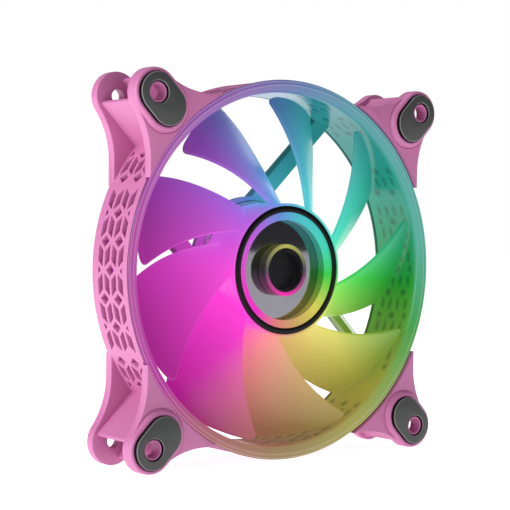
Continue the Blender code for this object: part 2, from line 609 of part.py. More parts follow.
def pole_outline(bore, hub, shoe, outer, width, span):
    """Star of T-shaped poles round a ring, as an outer outline and the bore."""
    outline = []
    half = width / 2
    for k in range(POLE_COUNT):
        middle = 360 * k / POLE_COUNT
        neck_in = asin_deg(half, hub)
        neck_out = asin_deg(half, shoe)
        following = middle + 360 / POLE_COUNT
        outline += arc((0, 0), outer, middle - span / 2, middle + span / 2, 6)
        outline += arc((0, 0), shoe, middle + span / 2, middle + neck_out, 2)
        outline += arc((0, 0), hub, middle + neck_in, following - neck_in, 2)
        outline += arc((0, 0), shoe, following - neck_out, following - span / 2, 2)
    return [outline, arc((0, 0), bore, 0, 337.5, 15)]


def asin_deg(opposite, radius):
    """Half angle in degrees that a half width takes up at a radius."""
    return 90 - Vector((sqrt(radius**2 - opposite**2), opposite)).angle(Vector((0, 1))) * 180 / pi


def make_stator():
    """Laminated core, an insulator on each face of it and a coil round each pole."""
    core = flat("stator_core", pole_outline(CORE_BORE, CORE_RING, CORE_SHOE, CORE_OUTER,
                                            POLE_WIDTH, SHOE_SPAN), *CORE_DEPTH, LAMINATION)
    sheet = pole_outline(CORE_BORE, CORE_RING, CORE_SHOE, CORE_OUTER - MM, POLE_WIDTH,
                         SHOE_SPAN - 6)
    thin = 0.3 * MM
    front = flat("stator_insulator_front", sheet, CORE_DEPTH[0] - GAP - thin, CORE_DEPTH[0] - GAP,
                 NYLON)
    rear = flat("stator_insulator_rear", sheet, CORE_DEPTH[1] + GAP, CORE_DEPTH[1] + GAP + thin,
                NYLON)

    clear = 2 * GAP + thin
    inner_x = POLE_WIDTH / 2 + GAP
    inner_y = (CORE_DEPTH[1] - CORE_DEPTH[0]) / 2 + clear
    length = CORE_SHOE - CORE_RING - 2.2 * MM
    middle = (CORE_DEPTH[0] + CORE_DEPTH[1]) / 2
    coils = []
    for k in range(POLE_COUNT):
        place = radial_place(2 * pi * k / POLE_COUNT, (CORE_SHOE + CORE_RING) / 2, middle)
        outside = Matrix.Diagonal(
            (length, 2 * (inner_y + COIL_THICKNESS), 2 * (inner_x + COIL_THICKNESS), 1))
        window = Matrix.Diagonal((2 * length, 2 * inner_y, 2 * inner_x, 1))
        coil = blocks(f"stator_coil_{k + 1}", [place @ outside], COPPER)
        boolean(coil, "DIFFERENCE", [blocks(f"coil_window_{k + 1}", [place @ window], tool=True)])
        coils.append(coil)
    return [core, front, rear] + coils


def make_board():
    """Driver board under the rotor, with its LEDs, sensor, driver chip and capacitor."""
    board = ring("driver_board", BOARD_INNER, BOARD_OUTER, *BOARD, BOARD_GREEN, MIDDLE_STEPS)
    led_depth = BOARD[0] - GAP - 0.3 * MM
    leds = [blocks(f"hub_led_{k + 1}", [
        radial_place(2 * pi * (k + 0.5) / LED_COUNT, LED_RADIUS, led_depth)
        @ Matrix.Diagonal((2.4 * MM, 0.6 * MM, 2.8 * MM, 1))], LED_WHITE) for k in range(LED_COUNT)]
    sensor = blocks("hall_sensor", [
        radial_place(radians(45), 17.8 * MM, BOARD[0] - GAP - 0.35 * MM)
        @ Matrix.Diagonal((1.6 * MM, 0.7 * MM, 2.6 * MM, 1))], EPOXY)
    behind = BOARD[1] + GAP
    chip = blocks("driver_chip", [
        radial_place(radians(150), 13 * MM, behind + 0.5 * MM)
        @ Matrix.Diagonal((4 * MM, 1.0 * MM, 5 * MM, 1))], EPOXY)
    capacitor = blocks("filter_capacitor", [
        radial_place(radians(195), 14 * MM, behind + 0.4 * MM)
        @ Matrix.Diagonal((1.2 * MM, 0.8 * MM, 2.0 * MM, 1))], EPOXY)
    return [board, sensor, chip, capacitor] + leds


def main():
    make_frame()
    make_pads()
    make_duct()
    make_bearing()
    make_stator()
    make_board()
    axis = bpy.data.objects.new("rotor_axis", None)
    FAN.objects.link(axis)
    for piece in [make_impeller()] + make_hub_face() + make_shaft_group():
        place = piece.matrix_world.copy()
        piece.parent = axis
        piece.matrix_world = place
    for piece in FAN.objects:
        if piece.type == "MESH":
            piece.data.shade_smooth()
            piece.data.set_sharp_from_angle(angle=radians(35))
    bpy.context.view_layer.update()


main()
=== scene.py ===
# %% [markdown]
# # A 120 mm case fan with a lit rotor
#
# The engineering model of the fan is already packed: its solids, bodies and the spin joint are the
# fixed frame here. This file gives that frame its looks, one piece at a time. Each step says what the
# piece is on the real fan, how it could be made in Blender, and why it is made the way it is.
# The fan turns about Y, its intake faces -Y and +Z is up.

# %% Load the frame
import json
from math import atan2, cos, degrees, pi, radians, sin

import bmesh
import bpy
from mathutils import Matrix, Vector

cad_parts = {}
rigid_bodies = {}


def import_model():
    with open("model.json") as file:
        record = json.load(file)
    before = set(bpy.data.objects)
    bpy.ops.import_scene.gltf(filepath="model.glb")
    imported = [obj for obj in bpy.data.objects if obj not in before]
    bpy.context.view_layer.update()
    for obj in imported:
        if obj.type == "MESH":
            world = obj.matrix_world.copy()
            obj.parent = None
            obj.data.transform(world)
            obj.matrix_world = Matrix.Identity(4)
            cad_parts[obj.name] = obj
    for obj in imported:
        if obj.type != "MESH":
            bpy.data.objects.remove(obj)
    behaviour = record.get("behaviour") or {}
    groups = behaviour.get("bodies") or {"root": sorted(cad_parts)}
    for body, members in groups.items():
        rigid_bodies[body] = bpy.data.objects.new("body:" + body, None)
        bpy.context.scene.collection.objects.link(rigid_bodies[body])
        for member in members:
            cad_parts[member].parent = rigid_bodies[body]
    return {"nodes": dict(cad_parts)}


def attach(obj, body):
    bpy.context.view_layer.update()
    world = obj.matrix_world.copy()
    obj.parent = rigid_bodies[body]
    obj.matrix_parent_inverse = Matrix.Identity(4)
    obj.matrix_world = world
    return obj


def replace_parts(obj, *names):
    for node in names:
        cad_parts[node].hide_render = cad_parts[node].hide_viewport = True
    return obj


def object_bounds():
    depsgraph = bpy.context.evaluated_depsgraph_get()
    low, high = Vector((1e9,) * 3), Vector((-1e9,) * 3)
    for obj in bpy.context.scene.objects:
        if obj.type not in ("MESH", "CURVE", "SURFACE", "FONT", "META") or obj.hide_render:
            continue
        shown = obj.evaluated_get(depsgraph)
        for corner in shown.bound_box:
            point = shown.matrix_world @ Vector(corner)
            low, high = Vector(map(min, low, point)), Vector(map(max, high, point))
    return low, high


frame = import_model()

cad_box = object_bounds()
NODES = frame["nodes"]
MM = 0.001
print("frame:", len(NODES), "nodes,", [round((b - a) / MM, 1) for a, b in zip(*cad_box)], "mm")

# %% [markdown]
# ## Camera
# The fan is seen from its intake side, a little from the left and almost level. A camera is an empty
# viewpoint: its local -Z axis looks out and +Y is up. The position is given as an angle round the fan,
# an elevation and a distance, because those are the numbers that are easy to adjust by hand.

# %% Camera
AZIMUTH, ELEVATION, ROLL = radians(-37.83), radians(1.685), radians(0.947)
DISTANCE, LENS = 0.4758, 104.5
SHIFT = (-0.0301, 0.0281)

camera = bpy.data.objects.new("camera", bpy.data.cameras.new("camera"))
bpy.context.scene.collection.objects.link(camera)
bpy.context.scene.camera = camera
back = Vector((sin(AZIMUTH) * cos(ELEVATION), -cos(AZIMUTH) * cos(ELEVATION), sin(ELEVATION)))
aim = (-back).to_track_quat("-Z", "Y").to_matrix().to_4x4()
camera.matrix_world = Matrix.Translation(back * DISTANCE) @ aim @ Matrix.Rotation(ROLL, 4, "Z")
camera.data.sensor_width, camera.data.lens = 36, LENS
camera.data.shift_x, camera.data.shift_y = SHIFT
camera.data.clip_start = 0.01
print("camera at", [round(c, 3) for c in camera.location])

# %% [markdown]
# ## Small node helpers
# Both materials and geometry can be written as node trees. Four helpers keep those trees readable: one
# adds a node and fills in its inputs by name, and the others do a step of arithmetic, rescale a value
# and mix two colours. An input that is given as another node's socket becomes a link, and any other
# value is stored on the input itself.

# %% Node helpers
def put(tree, kind, inputs=None, **settings):
    """Add a node, set its properties, and link or fill its inputs."""
    node = tree.nodes.new(kind)
    for name, value in settings.items():
        setattr(node, name, value)
    for name, value in (inputs or {}).items():
        socket = node.inputs[name]
        if isinstance(value, bpy.types.NodeSocket):
            tree.links.new(value, socket)
        else:
            socket.default_value = value
    return node


def calc(tree, operation, *values, clamp=False):
    """One Math node; gives its output socket."""
    return put(tree, "ShaderNodeMath", dict(enumerate(values)), operation=operation,
               use_clamp=clamp).outputs[0]


def spread(tree, value, low, high, start=0.0, end=1.0, soft=False):
    """A Map Range node: low to high becomes start to end, and it stays inside them."""
    return put(tree, "ShaderNodeMapRange", {
        "Value": value, "From Min": low, "From Max": high, "To Min": start, "To Max": end},
        interpolation_type="SMOOTHSTEP" if soft else "LINEAR").outputs["Result"]


def mixed(tree, share, first, second, blend="MIX"):
    """A colour Mix node: share of the second colour over the first."""
    return put(tree, "ShaderNodeMix", {"Factor": share, 6: first, 7: second},
               data_type="RGBA", blend_type=blend).outputs[2]


def linear(red, green, blue):
    """A colour of 0 to 255 screen values as linear light."""
    def channel(value):
        value /= 255
        return value / 12.92 if value <= 0.04045 else ((value + 0.055) / 1.055)**2.4
    return (channel(red), channel(green), channel(blue), 1.0)


# %% [markdown]
# ## Floor and light
# The fan stands on a plain pale floor in a white studio. A soft light on the left models the pink
# sides, the floor throws light back up, and the space in front of the fan stays dimmer, so that the
# front faces read darker than the sides. The world is a plain white for the camera, and a dimmer white
# as a light: a Light Path node tells the two apart, which a studio does with a lit backdrop. Mirrors
# see it dimmer still, so that black gloss stays black.

# %% Floor and light
def add_light(name, size, power, place):
    """A square soft light that faces the fan."""
    lamp = bpy.data.lights.new(name, "AREA")
    lamp.shape, lamp.size, lamp.energy = "SQUARE", size, power
    holder = bpy.data.objects.new(name, lamp)
    bpy.context.scene.collection.objects.link(holder)
    turn = (-Vector(place)).to_track_quat("-Z", "Y").to_matrix().to_4x4()
    holder.matrix_world = Matrix.Translation(place) @ turn


AMBIENT, IN_REFLECTIONS = 0.34, 0.08
world = bpy.data.worlds.new("studio")
bpy.context.scene.world = world
world.use_nodes = True
sky = world.node_tree.nodes["Background"]
path = put(world.node_tree, "ShaderNodeLightPath")
ambient = calc(world.node_tree, "SUBTRACT", AMBIENT, calc(
    world.node_tree, "MULTIPLY", path.outputs["Is Glossy Ray"], AMBIENT - IN_REFLECTIONS))
strength = calc(world.node_tree, "MAXIMUM", path.outputs["Is Camera Ray"], ambient)
world.node_tree.links.new(strength, sky.inputs["Strength"])
sky.inputs["Color"].default_value = (1, 1, 1, 1)

bpy.context.scene.view_settings.view_transform = "Standard"

add_light("left_softbox", 0.8, 13, (-1.25, 0.12, 0.30))
add_light("top_softbox", 0.8, 2.6, (0.1, 0.25, 1.0))
add_light("right_strip", 0.5, 1.6, (0.9, 0.3, 0.2))

floor_mesh = bpy.data.meshes.new("floor")
FLOOR_HALF = 3.0
low = cad_box[0].z
floor_mesh.from_pydata([(x * FLOOR_HALF, y * FLOOR_HALF, low) for x, y in
                        ((-1, -1), (1, -1), (1, 1), (-1, 1))], [], [(0, 1, 2, 3)])
floor = bpy.data.objects.new("floor", floor_mesh)
bpy.context.scene.collection.objects.link(floor)
pale = bpy.data.materials.new("pale_floor")
pale.use_nodes = True
shader = pale.node_tree.nodes["Principled BSDF"]
shader.inputs["Base Color"].default_value = (0.70, 0.70, 0.70, 1)
shader.inputs["Roughness"].default_value = 0.9
shader.inputs["Specular IOR Level"].default_value = 0.1
shader.inputs["Emission Color"].default_value = (1, 1, 1, 1)
shader.inputs["Emission Strength"].default_value = 0.85
floor_mesh.materials.append(pale)

# %% [markdown]
# ## A surface group for moulded parts
# No moulded part is one flat colour. The tool leaves a fine satin grain, and the tone drifts slowly
# over the part. Both come from noise on Object coordinates, so they stay fixed to the piece. The effect
# is used by nearly every finish, so it is one group: a colour and a roughness go in, and the varied
# colour, the varied roughness and a height for a Bump node come out.

# %% Surface grain group
def group_tree(name, kind, inputs, outputs):
    """A node group with named sockets; gives the tree and its input and output nodes."""
    tree = bpy.data.node_groups.new(name, kind)
    for way, sockets in (("INPUT", inputs), ("OUTPUT", outputs)):
        for label, socket_type, *default in sockets:
            socket = tree.interface.new_socket(label, in_out=way, socket_type=socket_type)
            if default:
                socket.default_value = default[0]
    return tree, tree.nodes.new("NodeGroupInput"), tree.nodes.new("NodeGroupOutput")


FLOAT, COLOUR, VECTOR = "NodeSocketFloat", "NodeSocketColor", "NodeSocketVector"

grain, given, out = group_tree(
    "surface_grain", "ShaderNodeTree",
    [("Vector", VECTOR), ("Colour", COLOUR), ("Roughness", FLOAT), ("Grain Size", FLOAT, 0.0004),
     ("Tone Drift", FLOAT, 0.06)],
    [("Colour", COLOUR), ("Roughness", FLOAT), ("Height", FLOAT)])
fine = put(grain, "ShaderNodeTexNoise", {
    "Vector": given.outputs["Vector"], "Detail": 2.0,
    "Scale": calc(grain, "DIVIDE", 1.0, given.outputs["Grain Size"])})
slow = put(grain, "ShaderNodeTexNoise", {
    "Vector": given.outputs["Vector"], "Detail": 2.0, "Scale": 45.0})
drift = calc(grain, "MULTIPLY", calc(grain, "SUBTRACT", slow.outputs["Fac"], 0.5),
             calc(grain, "MULTIPLY", given.outputs["Tone Drift"], 2.0))
toned = put(grain, "ShaderNodeHueSaturation", {
    "Color": given.outputs["Colour"], "Value": calc(grain, "ADD", 1.0, drift)})
rough = calc(grain, "ADD", given.outputs["Roughness"],
             calc(grain, "MULTIPLY", calc(grain, "SUBTRACT", fine.outputs["Fac"], 0.5), 0.12),
             clamp=True)
grain.links.new(toned.outputs["Color"], out.inputs["Colour"])
grain.links.new(rough, out.inputs["Roughness"])
grain.links.new(fine.outputs["Fac"], out.inputs["Height"])


def finish(name, colour, roughness, metallic=0.0, size=0.0004, relief=0.000006, drift=0.06,
           specular=0.5):
    """An opaque finish with grain; colour is linear RGBA, relief is the grain's height in metres."""
    material = bpy.data.materials.new(name)
    material.use_nodes = True
    tree = material.node_tree
    shader = tree.nodes["Principled BSDF"]
    where = put(tree, "ShaderNodeTexCoord")
    surface = put(tree, "ShaderNodeGroup", node_tree=grain)
    for label, value in (("Colour", colour), ("Roughness", roughness), ("Grain Size", size),
                         ("Tone Drift", drift)):
        surface.inputs[label].default_value = value
    tree.links.new(where.outputs["Object"], surface.inputs["Vector"])
    bump = put(tree, "ShaderNodeBump", {
        "Height": surface.outputs["Height"], "Distance": relief, "Strength": 1.0})
    tree.links.new(surface.outputs["Colour"], shader.inputs["Base Color"])
    tree.links.new(surface.outputs["Roughness"], shader.inputs["Roughness"])
    tree.links.new(bump.outputs["Normal"], shader.inputs["Normal"])
    shader.inputs["Metallic"].default_value = metallic
    shader.inputs["Specular IOR Level"].default_value = specular
    return material


print("surface grain group:", len(grain.nodes), "nodes")

# %% [markdown]
# ## Colours of the light
# The hub's LEDs shine out through the blades and the duct, each in its own colour, so the colour of
# the plastic depends on the angle about the fan's axis. A gradient round an axis is an arctangent of
# the two coordinates across it, and a Color Ramp turns that angle into colours. Near the hub the light
# is stronger and paler, so there are two ramps and the distance from the axis mixes them. The angle
# and the distance are one group, because the blades, the duct and the mirror ring all read them.

# %% Angle and radius group
polar, given, out = group_tree(
    "round_the_axis", "ShaderNodeTree", [("Vector", VECTOR)],
    [("Turn", FLOAT), ("Radius", FLOAT), ("Depth", FLOAT)])
parts = put(polar, "ShaderNodeSeparateXYZ", {0: given.outputs["Vector"]})
x, depth, z = parts.outputs
turn = calc(polar, "ADD", calc(polar, "DIVIDE", calc(polar, "ARCTAN2", z, x), 2 * pi), 0.5)
radius = calc(polar, "SQRT", calc(polar, "ADD", calc(polar, "MULTIPLY", x, x),
                                  calc(polar, "MULTIPLY", z, z)))
for label, socket in (("Turn", turn), ("Radius", radius), ("Depth", depth)):
    polar.links.new(socket, out.inputs[label])

# Each colour stands at its angle in degrees from +X towards +Z.
LIGHT = [
    (-180, (230, 60, 205)), (-130, (240, 35, 195)), (-105, (230, 120, 130)), (-80, (205, 160, 100)),
    (-45, (215, 210, 85)), (-20, (130, 210, 75)), (-5, (50, 205, 65)), (25, (55, 210, 180)),
    (75, (65, 185, 200)), (100, (90, 135, 215)), (130, (165, 85, 215)), (180, (230, 60, 205))]


def tinted(stops, share, pale=0.0):
    """The same colours, mixed with white by pale and then dimmed to a share."""
    return [(angle, [share * (part + pale * (255 - part)) for part in colour])
            for angle, colour in stops]


NEAR_HUB, AT_TIPS = tinted(LIGHT, 1.05, 0.08), tinted(LIGHT, 0.72)
ON_RING, IN_MIRROR = tinted(LIGHT, 0.76, 0.22), tinted(LIGHT, 0.94)


def angle_ramp(tree, turn, stops):
    """A Color Ramp round the axis; stops are (angle in degrees, screen colour)."""
    ramp = put(tree, "ShaderNodeValToRGB", {"Fac": turn})
    elements = ramp.color_ramp.elements
    while len(elements) < len(stops):
        elements.new(1.0)
    for element, (angle, colour) in zip(elements, stops):
        element.position = angle / 360 + 0.5
        element.color = linear(*colour)
    return ramp.outputs["Color"]


print("light:", len(LIGHT), "colours round the axis")

# %% [markdown]
# ## Finishes
# Lit plastic is part paint and part lamp. Each lit finish here sends the same colour to Base Color and
# to Emission Color: the base shows the studio light on the form, and the emission keeps the colour
# strong where the studio light doesn't reach, as real edge-lit plastic does.

# %% Lit plastic
def lit_plastic(name, base_share, glow, near_radius, far_radius, alpha=1.0, roughness=0.35,
                shade=None, painted_light=None):
    """Frosted plastic that glows in the colours of the light; shade adds painted shade and painted_light
    adds the ring's colours and painted highlights.
    """
    material = bpy.data.materials.new(name)
    material.use_nodes = True
    tree = material.node_tree
    shader = tree.nodes["Principled BSDF"]
    where = put(tree, "ShaderNodeTexCoord").outputs["Object"]
    about = put(tree, "ShaderNodeGroup", node_tree=polar)
    tree.links.new(where, about.inputs["Vector"])
    near = angle_ramp(tree, about.outputs["Turn"], NEAR_HUB)
    tip = angle_ramp(tree, about.outputs["Turn"], AT_TIPS)
    reach = calc(tree, "POWER", spread(tree, about.outputs["Radius"], near_radius, far_radius), 0.95)
    colour = mixed(tree, reach, near, tip)
    if painted_light:
        colour = painted_light(tree, about, colour)
    surface = put(tree, "ShaderNodeGroup", node_tree=grain)
    surface.inputs["Roughness"].default_value = roughness
    surface.inputs["Grain Size"].default_value = 0.0003
    surface.inputs["Tone Drift"].default_value = 0.05
    tree.links.new(where, surface.inputs["Vector"])
    tree.links.new(colour, surface.inputs["Colour"])
    lit = surface.outputs["Colour"]
    if shade:
        lit = shade(tree, about, lit)
    base = mixed(tree, 1.0, lit, (base_share,) * 3 + (1,), "MULTIPLY")
    tree.links.new(base, shader.inputs["Base Color"])
    tree.links.new(lit, shader.inputs["Emission Color"])
    tree.links.new(surface.outputs["Roughness"], shader.inputs["Roughness"])
    bump = put(tree, "ShaderNodeBump", {
        "Height": surface.outputs["Height"], "Distance": 0.000004, "Strength": 1.0})
    tree.links.new(bump.outputs["Normal"], shader.inputs["Normal"])
    shader.inputs["Emission Strength"].default_value = glow
    shader.inputs["Alpha"].default_value = alpha
    shader.inputs["Specular IOR Level"].default_value = 0.4
    return material


# how dark the painted shade gets: behind the openings, at the duct's rear rim and at the ring's outer edge
WINDOW_SHADE, RIM_SHADE, EDGE_SHADE = 0.5, 0.62, 0.55


def duct_shade(tree, about, colour):
    """Painted shade on the duct: darken it behind the frame's openings, at its rear rim and at the ring's
    outer edge.
    """
    window = put(tree, "ShaderNodeAttribute", attribute_name="window").outputs["Fac"]
    rim = spread(tree, about.outputs["Depth"], 10.3 * MM, 10.9 * MM, end=RIM_SHADE, soft=True)
    edge = spread(tree, about.outputs["Radius"], 59.7 * MM, 59.9 * MM, end=EDGE_SHADE)
    dark = calc(tree, "MAXIMUM", calc(tree, "MAXIMUM", calc(tree, "MULTIPLY", window, WINDOW_SHADE), rim),
                edge)
    return mixed(tree, dark, colour, (0.004, 0.02, 0.02, 1))


# painted highlights: two fine bright lines round the front ring
RING_HIGHLIGHTS = ((58.2 * MM, 0.22 * MM, 0.18), (59.4 * MM, 0.16 * MM, 0.22))   # radius, width, strength
RING_LAG = 15                       # degrees by which the ring's colours lag behind the blades'


def ring_light_and_highlights(tree, about, colour):
    """Give the front ring its own fainter colours of the light, with two painted highlight lines round it.
    """
    front = spread(tree, about.outputs["Depth"], -9.2 * MM, -6.6 * MM, 1.0, 0.0, soft=True)
    turn = calc(tree, "FRACT", calc(tree, "ADD", about.outputs["Turn"], RING_LAG / 360))
    face = angle_ramp(tree, turn, ON_RING)
    faded = mixed(tree, front, colour, face)
    line = 0.0
    for radius, width, strength in RING_HIGHLIGHTS:
        off = calc(tree, "ABSOLUTE", calc(tree, "SUBTRACT", about.outputs["Radius"], radius))
        near = calc(tree, "SUBTRACT", 1.0, calc(tree, "DIVIDE", off, width), clamp=True)
        line = calc(tree, "MAXIMUM", line, calc(tree, "MULTIPLY", near, strength))
    line = calc(tree, "MULTIPLY", line, front)
    # mix the painted highlight lines in as a pale white
    return mixed(tree, line, faded, (0.85, 0.88, 0.9, 1))


PINK = finish("frame_pink", (0.57, 0.17, 0.385, 1), 0.46, size=0.00035, drift=0.04, relief=0.000005,
              specular=0.6)
RUBBER = finish("pad_rubber", (0.055, 0.060, 0.057, 1), 0.36, size=0.0003, relief=0.000006)
tree = RUBBER.node_tree
shader = tree.nodes["Principled BSDF"]
skin = shader.inputs["Base Color"].links[0].from_socket
where = put(tree, "ShaderNodeSeparateXYZ", {
    0: next(n for n in tree.nodes if n.type == "TEX_COORD").outputs["Object"]})
depth = calc(tree, "ABSOLUTE", where.outputs["Y"])
# painted shade and highlight: a pad's side wall is painted near black, and a painted highlight line runs
# round its rolled rim
wall = spread(tree, depth, 13.34 * MM, 13.40 * MM)
dark = mixed(tree, wall, (0.004, 0.004, 0.004, 1), skin)
rim_highlight = calc(tree, "MULTIPLY", wall, calc(tree, "LESS_THAN", depth, 13.575 * MM))
edge = mixed(tree, calc(tree, "MULTIPLY", rim_highlight, 0.35), dark, (0.5, 0.5, 0.5, 1))
tree.links.new(edge, shader.inputs["Base Color"])
BLADE = lit_plastic("blade_frost", 0.34, 0.74, 23 * MM, 52 * MM)
DUCT = lit_plastic("duct_clear", 0.38, 0.66, 12 * MM, 40 * MM, alpha=0.985, roughness=0.22,
                   shade=duct_shade, painted_light=ring_light_and_highlights)
print("lit finishes:", BLADE.name, DUCT.name)

# %% [markdown]
# ## Shape helpers
# Most of the fan is either turned about the axis or cut from a flat outline. Three helpers cover that.
# The first rounds the corners of an outline, because a moulded edge always catches a line of light. The
# second turns a profile about Y. The third makes a prism from an outline with rounded rims.

# %% Shape helpers
def keep(name, mesh, material=None):
    """Link a mesh as a piece at the origin."""
    piece = bpy.data.objects.new(name, mesh)
    bpy.context.scene.collection.objects.link(piece)
    if material:
        mesh.materials.append(material)
    return piece


def smooth(piece, angle=38):
    """Shade smooth, with edges sharper than the angle left crisp."""
    piece.data.shade_smooth()
    piece.data.set_sharp_from_angle(angle=radians(angle))
    return piece


def rounded(points, radius, steps=3):
    """Round the corners of a closed outline; radius is one length, or one for each point."""
    result, count = [], len(points)
    for i, point in enumerate(points):
        here, before, after = Vector(point), Vector(points[i - 1]), Vector(points[(i + 1) % count])
        size = radius[i] if isinstance(radius, (list, tuple)) else radius
        size = min(size, (before - here).length * 0.45, (after - here).length * 0.45)
        if size <= 0:
            result.append(here)
            continue
        start = here + (before - here).normalized() * size
        end = here + (after - here).normalized() * size
        for k in range(steps + 1):
            t = k / steps
            result.append(start * (1 - t)**2 + here * 2 * t * (1 - t) + end * t * t)
    return result


def from_bmesh(name, work, material=None):
    """Weld, turn the faces outwards and keep the result as a piece."""
    bmesh.ops.remove_doubles(work, verts=work.verts, dist=1e-7)
    bmesh.ops.recalc_face_normals(work, faces=work.faces)
    mesh = bpy.data.meshes.new(name)
    work.to_mesh(mesh)
    work.free()
    return keep(name, mesh, material)


def skin_rows(work, rows, around=True, along=False):
    """Faces between rows of corners; around closes each row, along joins the last to the first."""
    rows = [[work.verts.new(corner) for corner in row] for row in rows]
    count = len(rows[0])
    for lower, upper in zip(rows, rows[1:] + rows[:1] if along else rows[1:]):
        for i in range(count if around else count - 1):
            j = (i + 1) % count
            work.faces.new((lower[i], lower[j], upper[j], upper[i]))
    return rows


def turned(name, profile, material=None, steps=144):
    """Turn a closed (radius, depth) profile about Y. A profile on the axis starts and ends there."""
    work = bmesh.new()
    on_axis = profile[0][0] < 1e-9 and profile[-1][0] < 1e-9
    skin_rows(work, [[(r * cos(a), y, r * sin(a)) for r, y in profile]
                     for a in (2 * pi * k / steps for k in range(steps))], not on_axis, True)
    return smooth(from_bmesh(name, work, material))


def prism(name, outline, front, rear, rim=0.0, material=None, steps=2):
    """A flat (x, z) outline made solid along Y, with its front and rear rims rounded."""
    work = bmesh.new()
    face = work.faces.new([work.verts.new((x, front, z)) for x, z in outline])
    moved = bmesh.ops.extrude_face_region(work, geom=[face])["geom"]
    bmesh.ops.translate(work, vec=(0, rear - front, 0),
                        verts=[v for v in moved if isinstance(v, bmesh.types.BMVert)])
    if rim:
        rims = [e for e in work.edges if abs(e.verts[0].co.y - e.verts[1].co.y) < 1e-9]
        bmesh.ops.bevel(work, geom=rims, offset=rim, segments=steps, profile=0.5,
                        affect="EDGES", clamp_overlap=True)
    return smooth(from_bmesh(name, work, material))


def bar(name, rows):
    """A solid skinned over equal rows of corners, with its first and last row as end faces."""
    work = bmesh.new()
    rows = skin_rows(work, rows)
    work.faces.new(rows[0])
    work.faces.new(rows[-1])
    return from_bmesh(name, work)


def loft(name, sections):
    """Skin equal (x, z) outlines placed at their own depths: [(depth, outline), ...]."""
    return smooth(bar(name, [[(x, depth, z) for x, z in outline] for depth, outline in sections]))


def settle(piece):
    """Apply a piece's modifiers into its mesh."""
    graph = bpy.context.evaluated_depsgraph_get()
    mesh = bpy.data.meshes.new_from_object(piece.evaluated_get(graph))
    piece.modifiers.clear()
    piece.data = mesh
    return piece


def combine(piece, operation, others):
    """Join or cut a piece with others, which are used up."""
    group = bpy.data.collections.new(f"{piece.name}_{operation.lower()}")
    bpy.context.scene.collection.children.link(group)
    for other in others:
        bpy.context.scene.collection.objects.unlink(other)
        group.objects.link(other)
    modifier = piece.modifiers.new("combine", "BOOLEAN")
    modifier.operation, modifier.operand_type, modifier.collection = operation, "COLLECTION", group
    modifier.solver = "EXACT"
    own = [material for material in piece.data.materials if material]
    settle(piece)
    piece.data.materials.clear()
    piece.data.materials.append(own[0] if own else None)
    piece.data.polygons.foreach_set("material_index", [0] * len(piece.data.polygons))
    for other in others:
        bpy.data.objects.remove(other)
    bpy.data.collections.remove(group)
    return smooth(piece)


def arc(centre, radius, start, end, count):
    """Points on an arc in the (x, z) plane, both ends included; angles in degrees."""
    turns = [radians(start + (end - start) * i / count) for i in range(count + 1)]
    return [(centre[0] + radius * cos(a), centre[1] + radius * sin(a)) for a in turns]


def quarter(points, corner):
    """Turn an (x, z) outline by quarter turns, from the top right corner clockwise."""
    for _ in range(corner):
        points = [(z, -x) for x, z in points]
    return points


CORNERS = ("top_right", "bottom_right", "bottom_left", "top_left")

# %% [markdown]
# ## Perforated band
# The band between the corner plates is a thin ring full of slots and diamonds. Two hundred openings
# by hand would be tedious and easy to get wrong, so Geometry Nodes does the work. A layout mesh holds
# one point for each opening and a number that says which shape it is. The tree turns each point's
# cutter to face outwards, picks the shape by that number, and cuts them all from the ring in one go.
# The cutters are flared at the outer face, which leaves every opening with a small chamfer.

# %% Cutters for the openings
BAND_INNER, BAND_OUTER = 57.9 * MM, 59.7 * MM
BAND_FRONT, BAND_REAR = -8.6 * MM, 11.0 * MM
CELL, PATTERN_MIDDLE = 3.76 * MM, 0.8 * MM
ROW_STEP, CORNER_ROW = 4.17, 27.7
SLOT_HALF_WIDTH, SLOT_HALF_LENGTH, SLOT_SLANT = 1.28 * MM, 2.42 * MM, 0.8
DIAMOND_HALF_DEPTH, DIAMOND_HALF_HEIGHT = 2.2 * MM, 1.8 * MM
HALF_CUT = 1.35 * MM                # how much of an edge diamond is open
SHAPES = ("slot_up", "slot_down", "diamond", "half_front", "half_rear")


def opening_outline(kind, scale=(1.0, 1.0)):
    """The (depth, around) outline of one opening, about its own centre."""
    if kind.startswith("slot"):
        lean = SLOT_SLANT if kind == "slot_up" else -SLOT_SLANT
        w, l = SLOT_HALF_WIDTH * scale[0], SLOT_HALF_LENGTH * scale[1]
        corners = [(y, side * l + lean * y) for side, ys in ((-1, (-w, w)), (1, (w, -w))) for y in ys]
    elif kind == "diamond":
        d, h = DIAMOND_HALF_DEPTH * scale[0], DIAMOND_HALF_HEIGHT * scale[1]
        corners = [(-d, 0), (0, -h), (d, 0), (0, h)]
    else:
        way = -1 if kind == "half_front" else 1
        tip = -way * DIAMOND_HALF_DEPTH
        edge = tip + way * HALF_CUT
        h = DIAMOND_HALF_HEIGHT * HALF_CUT / DIAMOND_HALF_DEPTH
        corners = [(tip, 0), (edge, -way * h), (edge, way * h)]
    return rounded(corners, 0.3 * MM, 2)


def cutter(kind):
    """A prism along X through the band, flared just below the outer face."""
    flat = opening_outline(kind)
    flare, depth = 0.13 * MM, 0.75 * MM
    surface = (BAND_OUTER - BAND_INNER) / 2
    grown = [point * (1 + (flare + depth) / DIAMOND_HALF_DEPTH) for point in flat]
    sections = [(-3 * MM, flat), (surface - flare, flat), (surface + depth, grown)]
    return bar(kind, [[(x, y, z) for y, z in outline] for x, outline in sections])


